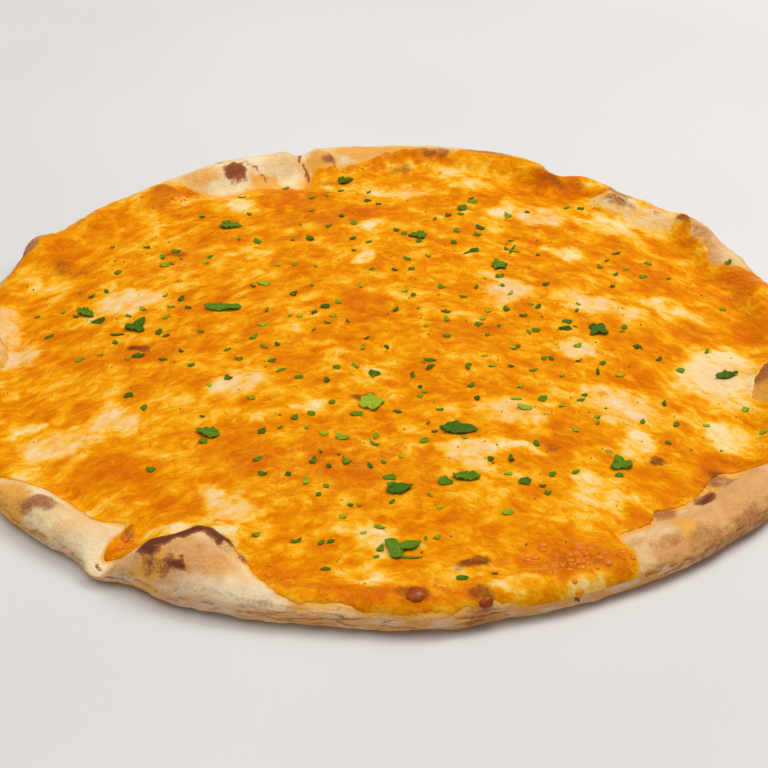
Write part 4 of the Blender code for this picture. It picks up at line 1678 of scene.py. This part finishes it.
@dataclass(frozen=True)
class PhotoCamera:
    """The camera, which looks down at the pizza as the photo does.

    Attributes:
        image_side: the side of the square image, in pixels.
        focal_pixels: the focal length, in pixels.
        sensor: the sensor's side, in millimetres.
        tilt: how many degrees it looks down.
        distance: how far it stands from the point it looks at.
        target: the point it looks at, in the plan about the circle's centre.
    """

    image_side: int = 768
    focal_pixels: float = 1500.0
    sensor: float = 36.0
    tilt: float = 34.8
    distance: float = 0.702
    target: tuple = (0.001, -0.031, 0.0)

    @property
    def place(self) -> Array:
        """Return where the camera stands, about the circle's centre."""
        tilt = math.radians(self.tilt)
        back = np.array((0.0, -math.cos(tilt), math.sin(tilt)))
        return np.array(self.target) + self.distance * back

    def plan_point(self, across: float, down: float, height: float) -> tuple[float, float]:
        """Return the plan point that shows at a pixel.

        Args:
            across: the pixel's distance from the image's left side.
            down: its distance from the image's top.
            height: the height of the point in the scene.

        Returns:
            Its two plan coordinates about the circle's centre.
        """
        tilt = math.radians(self.tilt)
        ahead = np.array((0.0, math.cos(tilt), -math.sin(tilt)))
        up = np.array((0.0, math.sin(tilt), math.cos(tilt)))
        right = np.array((1.0, 0.0, 0.0))
        half = 0.5 * self.image_side
        ray = self.focal_pixels * ahead + (across - half) * right - (down - half) * up
        point = self.place + ray * (height - self.place[2]) / ray[2]
        return float(point[0]), float(point[1])

    def build(self, shift: Array) -> None:
        """Make the camera, moved against a shift as the pizza is.

        Args:
            shift: what is taken off its place.
        """
        lens = bpy.data.cameras.new("camera")
        lens.sensor_width = self.sensor
        lens.lens = self.sensor * self.focal_pixels / self.image_side
        camera = bpy.data.objects.new("camera", lens)
        camera.location = Vector(self.place - shift)
        camera.rotation_euler = (math.radians(90.0 - self.tilt), 0.0, 0.0)
        bpy.context.scene.collection.objects.link(camera)
        bpy.context.scene.camera = camera


class Flake(NamedTuple):
    """A chopped flake: its place, length, heading in degrees and tint, 0 dark to 1 light."""

    x: float
    y: float
    length: float
    heading: float
    tint: float


@dataclass(frozen=True)
class Parsley:
    """All the parsley: the loose leaves, the chopped flakes and the finest specks.

    Attributes:
        surface: the cheese it lies on.
        camera: the camera, which turns pixels of the photo into places.
        finish: the finish of all of it.
        leaves: the loose leaves, each of which stands for a node.
        pinches: where the flakes of the solids were strewn.
        pixel_flakes: further flakes of the photo, each with the pixel across and down where
            it shows and its length in pixels.
    """

    surface: CheeseSurface
    camera: PhotoCamera
    finish: ParsleyFinish = ParsleyFinish()
    leaves: tuple = each(
        Leaf,
        (0.0305, -0.077, 0.022, 0.0105, 352, 1, 0.22, LeafTone.DARK),
        (-0.005, -0.0575, 0.012, 0.0125, 10, 5, 0.06, LeafTone.LIGHT),
        (0.007, -0.1565, 0.019, 0.013, 15, 3, 0.26, LeafTone.MIDDLE),
        (-0.119, 0.006, 0.015, 0.011, 65, 3, 0.2, LeafTone.DARK),
        (-0.0785, 0.023, 0.0175, 0.0085, 172, 2, 0.16, LeafTone.MIDDLE),
        (-0.147, 0.02, 0.016, 0.0068, 318, 1, 0.2, LeafTone.MIDDLE),
        (-0.0215, 0.16, 0.012, 0.0085, 30, 3, 0.2, LeafTone.DARK),
        (-0.083, 0.1065, 0.015, 0.0085, 5, 3, 0.16, LeafTone.MIDDLE),
        (0.1045, 0.0035, 0.012, 0.0105, 50, 4, 0.12, LeafTone.DARK),
        (0.102, -0.102, 0.013, 0.0105, 100, 3, 0.22, LeafTone.MIDDLE),
        (0.006, -0.1195, 0.015, 0.0085, 15, 1, 0.2, LeafTone.DARK),
        (0.0355, -0.111, 0.013, 0.0075, 170, 2, 0.14, LeafTone.MIDDLE),
        (0.16, -0.038, 0.013, 0.006, 185, 1, 0.2, LeafTone.DARK),
        (0.0605, 0.0655, 0.011, 0.01, 30, 5, 0.18, LeafTone.MIDDLE),
        (0.0195, 0.096, 0.0135, 0.008, 168, 3, 0.2, LeafTone.MIDDLE),
        (-0.076, -0.0795, 0.011, 0.008, 345, 2, 0.1, LeafTone.MIDDLE),
    )
    pinches: tuple = each(
        Pinch,
        (-0.02, -0.075, 0.06, 0.3), (-0.115, 0.03, 0.04, 0.16), (0.05, 0.075, 0.052, 0.22),
        (0.095, -0.06, 0.045, 0.14), (-0.035, 0.085, 0.045, 0.12), (0.085, 0.015, 0.03, 0.06),
    )
    flake_seed: int = 12
    flake_count: int = 92
    flake_length: tuple = (0.0038, 0.0062)
    flake_spacing: float = 0.0075
    speck_seed: int = 31
    speck_count: int = 170
    speck_length: tuple = (0.0007, 0.0016)
    speck_stray: float = 1.3
    speck_margin: float = 0.006
    flake_corner: float = 0.36
    flake_reach: tuple = (0.5, 1.0)
    flake_aspect: tuple = (0.4, 0.95)
    flake_curl: tuple = (0.0003, 0.0016)
    flake_curled_length: float = 0.004
    flake_twist: float = 0.4
    photo_turn: float = 38.0
    thickness: float = 0.00028
    leaf_thickness: float = 0.0005
    leaf_curl: float = 0.0009
    leaf_points: int = 56
    leaf_rings: tuple = (1.0, 0.84, 0.66, 0.46, 0.24)
    leaf_corner: float = 1.3
    leaf_tear: float = 0.16
    leaf_tears: int = 11
    leaf_ribs: tuple = (8.0, 150.0, 255.0)
    leaf_rib_width: float = 0.00035
    leaf_crimp: float = 0.00035
    leaf_groove: float = 0.0002
    stalk_length: float = 0.0095
    stalk_aspect: float = 0.18
    metres_per_pixel: float = 0.00047
    pixel_flakes: tuple = (
        (396, 489, 20), (391, 478, 17), (445, 482, 18), (465, 477, 20), (264, 325, 16), (138, 356, 18),
        (500, 277, 12), (475, 251, 20), (512, 250, 24), (325, 307, 13), (526, 409, 20), (542, 400, 16),
        (82, 312, 20), (98, 322, 18), (681, 371, 14), (345, 181, 14), (462, 581, 14), (257, 241, 18),
        (422, 235, 22), (526, 482, 15), (620, 476, 12), (566, 329, 16), (147, 249, 12), (181, 259, 9),
        (210, 258, 12), (181, 300, 10), (189, 308, 10), (166, 318, 12), (159, 332, 12), (49, 337, 13),
        (162, 360, 10), (191, 366, 11), (210, 387, 11), (129, 395, 13), (311, 211, 11), (378, 205, 10),
        (353, 238, 10), (395, 270, 9), (449, 216, 12), (454, 243, 12), (338, 303, 11), (314, 313, 11),
        (278, 266, 9), (234, 311, 10), (228, 350, 10), (328, 323, 10), (367, 339, 9), (387, 348, 11),
        (372, 374, 18), (430, 361, 14), (430, 368, 13), (398, 412, 13), (262, 432, 13), (204, 441, 12),
        (376, 436, 14), (313, 462, 12), (347, 463, 12), (370, 467, 11), (263, 475, 12), (440, 508, 9),
        (380, 529, 14), (296, 543, 13), (331, 543, 8), (326, 570, 11), (562, 407, 9), (597, 417, 10),
        (598, 423, 10), (642, 423, 8), (707, 427, 11), (552, 475, 10), (548, 493, 9), (471, 199, 9),
        (508, 217, 12), (616, 254, 12), (607, 261, 9), (626, 270, 9), (600, 267, 9), (448, 313, 9),
        (536, 331, 11), (513, 348, 12), (637, 347, 13), (577, 346, 10), (533, 371, 12), (620, 376, 11),
        (727, 273, 9), (659, 360, 10), (299, 378, 12), (424, 442, 13), (490, 461, 9), (281, 371, 16),
        (80, 294, 9), (92, 298, 9), (64, 312, 12), (143, 310, 12), (129, 317, 9), (201, 332, 9),
        (285, 185, 12), (341, 192, 10), (342, 217, 9), (329, 227, 9), (369, 242, 9), (316, 267, 9),
        (294, 296, 9), (300, 317, 9), (267, 312, 10), (404, 234, 9), (396, 309, 10), (277, 345, 9),
        (447, 321, 9), (472, 202, 16), (462, 209, 18), (461, 215, 9), (527, 213, 9), (481, 229, 14),
        (484, 279, 9), (616, 275, 10), (546, 285, 10), (483, 320, 8), (563, 329, 14), (578, 362, 9),
        (512, 367, 10), (420, 388, 8), (376, 374, 16), (440, 410, 10), (281, 428, 9), (374, 445, 15),
        (435, 433, 9), (329, 467, 9), (384, 463, 9), (430, 495, 9), (319, 496, 9), (381, 550, 14),
        (410, 558, 24), (471, 387, 9), (576, 473, 10), (542, 486, 9), (343, 439, 16), (324, 435, 14),
        (118, 335, 26), (512, 249, 26), (468, 253, 22), (357, 415, 15), (172, 264, 9), (242, 197, 14),
        (76, 317, 9), (166, 297, 8), (171, 308, 9), (100, 356, 9), (181, 351, 8), (367, 201, 12),
        (354, 250, 8), (333, 316, 9), (254, 338, 15), (290, 317, 8), (314, 330, 8), (419, 242, 10),
        (435, 219, 9), (428, 257, 9), (356, 367, 14), (336, 368, 11), (426, 327, 7), (444, 312, 10),
        (447, 337, 10), (511, 241, 9), (613, 287, 8), (531, 305, 9), (578, 305, 8), (622, 332, 8),
        (575, 327, 8), (499, 326, 8), (468, 367, 10), (544, 359, 9), (669, 279, 9), (723, 311, 9),
        (327, 380, 11), (420, 397, 9), (208, 433, 14), (295, 418, 12), (258, 459, 11), (339, 456, 7),
        (392, 503, 9), (327, 488, 8), (359, 505, 8), (288, 475, 9), (363, 534, 8), (376, 558, 8),
        (426, 539, 8), (321, 545, 8), (332, 402, 9), (584, 396, 9), (520, 388, 8), (508, 513, 13),
        (464, 439, 7), (495, 579, 7), (265, 284, 19), (253, 287, 12), (293, 295, 12), (312, 287, 6),
        (405, 291, 10), (418, 308, 7), (348, 322, 7), (487, 335, 7), (412, 374, 6), (428, 424, 8),
        (203, 417, 7), (369, 193, 9),
    )

    @cached_property
    def material(self) -> bpy.types.Material:
        """Return the one material of all the parsley."""
        return self.finish.material()

    def chopped(self) -> list[Flake]:
        """Return the flakes: those of the solids, strewn by the same rule, and those of the photo."""
        draw = random.Random(self.flake_seed)
        tints = random.Random(self.flake_seed + 1)
        flakes: list[Flake] = []
        form = self.surface.form
        for pinch in self.pinches:
            wanted = round(pinch.share * self.flake_count)
            while wanted:
                x = draw.gauss(pinch.x, pinch.spread)
                y = draw.gauss(pinch.y, pinch.spread)
                length = draw.uniform(*self.flake_length)
                heading = draw.uniform(0.0, 360.0)
                edge = form.cheese_radius(direction(x, y))[0]
                inside = math.hypot(x, y) < edge - form.cheese_edge_taper
                apart = all(math.hypot(x - flake.x, y - flake.y) > self.flake_spacing for flake in flakes)
                if inside and apart and self.clear_of_leaves(x, y, length):
                    flakes.append(Flake(x, y, length, heading, tints.random()))
                    wanted -= 1
        for across, down, length in self.pixel_flakes:
            x, y = self.camera.plan_point(across, down, form.dough_floor + form.cheese_thickness)
            heading = tints.gauss(0.0, self.photo_turn)
            flakes.append(Flake(x, y, length * self.metres_per_pixel, heading, tints.random() ** 1.5))
        return flakes

    def specks(self) -> list[Flake]:
        """Return the finest specks, strewn by a seeded rule over the pinches."""
        draw = random.Random(self.speck_seed)
        specks = []
        while len(specks) < self.speck_count:
            pinch = draw.choice(self.pinches)
            x = draw.gauss(pinch.x, self.speck_stray * pinch.spread)
            y = draw.gauss(pinch.y, self.speck_stray * pinch.spread)
            edge = self.surface.form.cheese_radius(direction(x, y))[0]
            if math.hypot(x, y) < edge - self.speck_margin:
                length = draw.uniform(*self.speck_length)
                specks.append(Flake(x, y, length, draw.uniform(0.0, 360.0), 0.3 * draw.random()))
        return specks

    def clear_of_leaves(self, x: float, y: float, reach: float) -> bool:
        """Tell whether a flake of a reach keeps clear of every loose leaf."""
        return all(math.hypot(x - leaf.x, y - leaf.y) > 0.5 * leaf.length + reach for leaf in self.leaves)

    def flake_rings(self, flake: Flake, draw: random.Random, sides: int) -> tuple[Array, Array]:
        """Return the outline of one torn flake as two rings and a middle, and its curl.

        Args:
            flake: the flake.
            draw: where its unevenness is drawn from.
            sides: how many corners it has.

        Returns:
            Plan points of the outer ring, the inner ring and the middle, and their lift.
        """
        corner = self.flake_corner
        bearing = np.array(
            [2.0 * math.pi * (side + draw.uniform(-corner, corner)) / sides for side in range(sides)]
        )
        reach = np.array([draw.uniform(*self.flake_reach) for _ in range(sides)])
        aspect = self.stalk_aspect
        if flake.length < self.stalk_length:
            aspect = draw.uniform(*self.flake_aspect)
        curl = draw.uniform(*self.flake_curl) * min(1.0, flake.length / self.flake_curled_length)
        twist = draw.uniform(-self.flake_twist, self.flake_twist)
        along = np.concatenate((reach * np.cos(bearing), 0.5 * reach * np.cos(bearing), [0.0]))
        across = aspect * np.concatenate((reach * np.sin(bearing), 0.5 * reach * np.sin(bearing), [0.0]))
        lift = curl * (along**2 + twist * along * across * 4.0) + 0.0001
        turn = math.radians(flake.heading)
        half = 0.5 * flake.length
        x = flake.x + half * (along * math.cos(turn) - across * math.sin(turn))
        y = flake.y + half * (along * math.sin(turn) + across * math.cos(turn))
        return np.stack((x, y), 1), np.maximum(lift, 0.00005)

    def strewn(self, name: str, flakes: Sequence[Flake], sides: int, thickness: float) -> bpy.types.Object:
        """Build many flakes as one piece that lies on the cheese.

        Args:
            name: the name of the piece.
            flakes: the flakes.
            sides: how many corners each has.
            thickness: how thick each is.

        Returns:
            The dressed piece, on the frame.
        """
        draw = random.Random(name)
        outlines = [self.flake_rings(flake, draw, sides) for flake in flakes]
        plan = np.concatenate([outline for outline, _ in outlines])
        lift = np.concatenate([lifted for _, lifted in outlines])
        height = self.surface.top(plan[:, 0], plan[:, 1]) + lift
        draft = MeshDraft()
        count = 2 * sides + 1
        for index, flake in enumerate(flakes):
            part = slice(index * count, (index + 1) * count)
            upper = np.column_stack((plan[part], height[part] + thickness))
            lower = np.column_stack((plan[part], height[part]))
            vein = np.zeros(count)
            vein[-1] = 0.5 if flake.length > 0.006 else 0.0
            top = draft.add(upper, tint=flake.tint, vein=vein)
            bottom = draft.add(lower, tint=flake.tint, vein=0.0)
            self.close_leaf(draft, top, bottom, [sides, sides])
        return self.set_down(draft.piece(name, self.surface.form.middle, sharp=20.0))

    def close_leaf(self, draft: MeshDraft, top: Array, bottom: Array, counts: list[int]) -> None:
        """Fill the two faces and the edge of a thin leaf, both faces split alike.

        Args:
            draft: the mesh under construction.
            top: vertex numbers of the upper face, ring after ring and then the middle.
            bottom: vertex numbers of the lower face in the same order.
            counts: how many vertices each ring has.
        """
        starts = np.concatenate(([0], np.cumsum(counts)))
        for face, flip in ((top, False), (bottom, True)):
            rings = [face[start : start + count] for start, count in zip(starts, counts)]
            parts = [join(outer, inner) for outer, inner in zip(rings, rings[1:])]
            parts.append(fan(rings[-1], face[-1]))
            draft.face(*[part[:, ::-1] if flip else part for part in parts])
        draft.face(join(bottom[: counts[0]], top[: counts[0]]))

    def leaf_reach(self, leaf: Leaf, bearing: Array) -> Array:
        """Return how far a leaf's outline lies from its middle, with lobes and small teeth.

        Args:
            leaf: the leaf.
            bearing: directions from its heading, in radians.

        Returns:
            One distance for each direction.
        """
        lobes = 1.0 - leaf.lobe_depth + leaf.lobe_depth * np.cos(leaf.lobes * bearing)
        across = leaf.width / leaf.length
        power = self.leaf_corner
        oval = np.abs(np.cos(bearing)) ** power + np.abs(np.sin(bearing) / across) ** power
        draw = np.random.default_rng(int(leaf.heading) + leaf.lobes)
        torn = draw.uniform(-self.leaf_tear, self.leaf_tear, self.leaf_tears)
        knots = 2.0 * math.pi * np.arange(self.leaf_tears + 1) / self.leaf_tears
        tears = 1.0 + np.interp(bearing, knots, np.append(torn, torn[0]))
        return 0.5 * leaf.length * lobes * oval ** (-1.0 / power) * tears

    def build_leaf(self, number: int, leaf: Leaf) -> bpy.types.Object:
        """Build one loose leaf, which stands for the node of the same number.

        Args:
            number: the leaf's number, from 1.
            leaf: the leaf.

        Returns:
            The dressed piece, on the frame.
        """
        bearing = 2.0 * math.pi * np.arange(self.leaf_points) / self.leaf_points
        reach = self.leaf_reach(leaf, bearing)
        share = np.concatenate((np.repeat(self.leaf_rings, self.leaf_points), [0.0]))
        rings = len(self.leaf_rings)
        around = np.append(np.tile(bearing, rings), 0.0)
        turn = around + math.radians(leaf.heading)
        distance = share * np.append(np.tile(reach, rings), 0.0)
        x = leaf.x + distance * np.cos(turn)
        y = leaf.y + distance * np.sin(turn)
        turns = [np.abs(turn_between(np.degrees(around), rib)) for rib in self.leaf_ribs]
        ribs = np.min(turns, axis=0)
        side_ribs = 0.3 * (0.5 + 0.5 * np.cos(share * 26.0 + ribs * 0.22)) * rise(ribs, 6.0, 20.0)
        vein = np.maximum(bell(np.radians(ribs) * distance, self.leaf_rib_width), side_ribs)
        vein *= 0.35 + 0.65 * leaf.tone.value
        curl = self.leaf_curl * share * (0.5 + 0.5 * np.sin(2.0 * around + leaf.heading))
        crimp = self.leaf_crimp * share * np.sin(around * 7.0 + leaf.heading)
        crimp = crimp + self.leaf_groove * (1.0 - vein)
        height = self.surface.top(x, y) + self.surface.form.gap + np.maximum(0.0, curl + crimp)
        draft = MeshDraft()
        upper = np.column_stack((x, y, height + self.leaf_thickness))
        top = draft.add(upper, tint=leaf.tone.value, vein=vein)
        bottom = draft.add(np.column_stack((x, y, height)), tint=leaf.tone.value, vein=0.0)
        self.close_leaf(draft, top, bottom, [self.leaf_points] * rings)
        name = f"parsley_leaf_{number:02d}"
        piece = self.set_down(draft.piece(name, self.surface.form.middle, sharp=35.0))
        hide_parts(f"parsley_{number:02d}")
        return piece

    def set_down(self, piece: bpy.types.Object) -> bpy.types.Object:
        """Dress a piece of parsley and set it on the frame.

        Args:
            piece: the piece.

        Returns:
            The same piece.
        """
        piece.data.materials.append(self.material)
        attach(piece, "root")
        return piece

    def build(self) -> list[bpy.types.Object]:
        """Build the leaves, the flakes and the specks."""
        pieces = [self.build_leaf(number, leaf) for number, leaf in enumerate(self.leaves, start=1)]
        pieces.append(self.strewn("parsley_flakes", self.chopped(), 7, self.thickness))
        pieces.append(self.strewn("parsley_specks", self.specks(), 5, 0.5 * self.thickness))
        return pieces


@dataclass(frozen=True)
class Bubbles:
    """Glossy bubbles and small oil blisters that stand in the cheese.

    Attributes:
        surface: the cheese they stand in.
        seed: the seed of where they are and how large.
        smallest: the least radius.
        smallness: the power that makes most of them small.
        shape: the least and the greatest width, as a share of the length.
        rise: the least and the greatest height, as a share of the radius.
        most_toasted: how brown the brownest of the strewn ones is, 0 to 1.
        sunk: how deep a bubble's foot lies in the cheese, as a share of its height.
        swelling: how much the domes are raised.
        sides: how many sides a dome has.
        rings: how many rings it has.
        zones: where they are.
        blisters: the largest single ones, as ovals whose strength is their height in metres,
            each with how toasted it is.
        finish: their finish.
    """

    surface: CheeseSurface
    seed: int = 61
    smallest: float = 0.00045
    smallness: float = 2.2
    shape: tuple = (0.65, 1.0)
    rise: tuple = (0.35, 0.6)
    most_toasted: float = 0.35
    sunk: float = 0.25
    swelling: float = 1.2
    sides: int = 10
    rings: int = 4
    zones: tuple = each(
        BubbleZone,
        (0.076, -0.167, 0.02, 0.011, 8, 130, 0.0022), (0.108, -0.145, 0.016, 0.006, 36, 50, 0.0015),
        (0.132, -0.12, 0.012, 0.006, 46, 24, 0.0013), (-0.103, -0.15, 0.004, 0.01, -10, 34, 0.0017),
        (0.005, -0.184, 0.03, 0.006, 0, 50, 0.0015), (-0.04, -0.172, 0.016, 0.006, -12, 22, 0.0012),
        (-0.113, 0.138, 0.02, 0.006, 40, 60, 0.0014), (0.0, 0.176, 0.034, 0.006, 0, 46, 0.0012),
        (0.178, 0.035, 0.008, 0.018, 10, 30, 0.0013), (-0.01, -0.1, 0.06, 0.03, 0, 70, 0.0008),
        (0.05, 0.01, 0.07, 0.05, 0, 50, 0.0007), (-0.06, 0.03, 0.07, 0.05, 0, 50, 0.0007),
    )
    blisters: tuple = (
        (Mark(0.0125, -0.189, 0.0048, 0.0042, 10, 0.0018), 0.66),
        (Mark(0.0385, -0.188, 0.0046, 0.0052, 20, 0.0022), 0.72),
        (Mark(-0.103, -0.15, 0.002, 0.0026, 0, 0.0012), 0.35),
        (Mark(0.075, -0.1815, 0.003, 0.0024, 10, 0.0012), 0.0),
    )
    finish: BubbleFinish = BubbleFinish()

    def all_domes(self) -> list[tuple[Mark, float]]:
        """Return every bubble as an oval, with how toasted it is."""
        draw = random.Random(self.seed)
        domes = list(self.blisters)
        for zone in self.zones:
            for _ in range(zone.count):
                along = draw.gauss(0.0, 0.5) * zone.along
                across = draw.gauss(0.0, 0.5) * zone.across
                turn = math.radians(zone.heading)
                x = zone.x + along * math.cos(turn) - across * math.sin(turn)
                y = zone.y + along * math.sin(turn) + across * math.cos(turn)
                size = self.smallest + (zone.largest - self.smallest) * draw.random() ** self.smallness
                shape = draw.uniform(*self.shape)
                heading = draw.uniform(0.0, 180.0)
                height = size * draw.uniform(*self.rise)
                toasted = draw.uniform(0.0, self.most_toasted)
                if math.hypot(x, y) < self.surface.edge_radius(direction(x, y))[0] - size:
                    domes.append((Mark(x, y, size, size * shape, heading, height), toasted))
        return domes

    def build(self) -> bpy.types.Object:
        """Build all the bubbles as one piece, dress it and set it on the frame.

        Returns:
            The piece.
        """
        domes = self.all_domes()
        lean = 0.5 * math.pi * np.arange(self.rings) / self.rings
        bearing = 2.0 * math.pi * np.arange(self.sides) / self.sides
        reach = np.append(np.repeat(np.cos(lean), self.sides), 0.0)
        lift = np.append(np.repeat(np.sin(lean), self.sides), 1.0)
        around = np.append(np.tile(bearing, self.rings), 0.0)
        count = self.rings * self.sides + 1
        plan = np.zeros((len(domes) * count, 2))
        for index, (dome, _) in enumerate(domes):
            turn = math.radians(dome.heading)
            along = dome.along * reach * np.cos(around)
            across = dome.across * reach * np.sin(around)
            part = slice(index * count, (index + 1) * count)
            plan[part, 0] = dome.x + along * math.cos(turn) - across * math.sin(turn)
            plan[part, 1] = dome.y + along * math.sin(turn) + across * math.cos(turn)
        ground = self.surface.top(plan[:, 0], plan[:, 1])
        draft = MeshDraft()
        for index, (dome, toasted) in enumerate(domes):
            part = slice(index * count, (index + 1) * count)
            low = ground[part][: self.sides].min() - self.sunk * dome.strength
            blend = 0.5 * (low + ground[part][: self.sides].mean())
            height = blend + self.swelling * dome.strength * lift
            numbers = draft.add(np.column_stack((plan[part], height)), toasted=toasted)
            rings = [numbers[ring * self.sides : (ring + 1) * self.sides] for ring in range(self.rings)]
            for outer, inner in zip(rings, rings[1:]):
                draft.face(join(outer, inner))
            draft.face(fan(rings[-1], numbers[-1]))
            draft.face(np.stack((rings[0][1:-1], np.full(self.sides - 2, rings[0][0]), rings[0][2:]), 1))
        piece = draft.piece("cheese_bubbles", self.surface.form.middle)
        piece.data.materials.append(self.finish.material())
        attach(piece, "root")
        return piece


@dataclass(frozen=True)
class Studio:
    """A plain pale floor and soft light from above."""

    floor_reach: float = 4.0
    floor_drop: float = 0.0002
    floor_cells: int = 8
    sky_strength: float = 0.26
    sky: tuple = (1.0, 0.99, 0.975, 1.0)
    floor_finish: FloorFinish = FloorFinish()
    lights: tuple = (
        ("key", (0.75, 0.55, 1.55), 0.9, 17.3),
        ("overhead", (-0.25, -0.2, 2.0), 1.8, 18.7),
        ("front", (-0.5, -1.6, 0.9), 1.2, 1.0),
    )

    def build(self) -> None:
        """Make the floor, the sky light and the lamps."""
        draft = MeshDraft()
        line = np.linspace(-self.floor_reach, self.floor_reach, self.floor_cells + 1)
        east, north = np.meshgrid(line, line)
        heights = np.full(east.size, -self.floor_drop)
        numbers = draft.add(np.column_stack((east.ravel(), north.ravel(), heights)))
        numbers = numbers.reshape(east.shape)
        near, right = numbers[:-1, :-1].ravel(), numbers[:-1, 1:].ravel()
        over, far = numbers[1:, :-1].ravel(), numbers[1:, 1:].ravel()
        draft.face(np.stack((near, right, far), 1), np.stack((near, far, over), 1))
        floor = draft.piece("floor", np.zeros(3))
        floor.data.materials.append(self.floor_finish.material())
        for name, place, side, power in self.lights:
            self.lamp(name, Vector(place), side, power)
        world = bpy.data.worlds.new("sky")
        world.use_nodes = True
        glow = world.node_tree.nodes["Background"]
        glow.inputs["Color"].default_value = self.sky
        glow.inputs["Strength"].default_value = self.sky_strength
        bpy.context.scene.world = world
        bpy.context.scene.view_settings.view_transform = "Standard"

    def lamp(self, name: str, place: Vector, side: float, power: float) -> None:
        """Make one soft square lamp that faces the pizza.

        Args:
            name: the lamp's name.
            place: where it stands.
            side: the length of its sides.
            power: its power in watts.
        """
        light = bpy.data.lights.new(name, "AREA")
        light.size = side
        light.energy = power
        lamp = bpy.data.objects.new(name, light)
        lamp.location = place
        lamp.rotation_mode = "QUATERNION"
        lamp.rotation_quaternion = (-place).to_track_quat("-Z", "Y")
        bpy.context.scene.collection.objects.link(lamp)


def main() -> None:
    """Build every sub-assembly in order, and log how many triangles each piece has."""
    logging.basicConfig(level=logging.INFO, format="%(message)s")
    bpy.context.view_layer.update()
    form = PizzaForm()
    surface = CheeseSurface(form)
    layer = CheeseLayer(surface)
    camera = PhotoCamera()
    pieces = [layer.build(), Crust(surface, layer.columns).build(), Bubbles(surface).build()]
    pieces.extend(Parsley(surface, camera).build())
    for piece in pieces:
        LOG.info("%s: %d triangles", piece.name, len(piece.data.polygons))
    camera.build(form.middle)
    Studio().build()


if __name__ == "__main__":
    main()
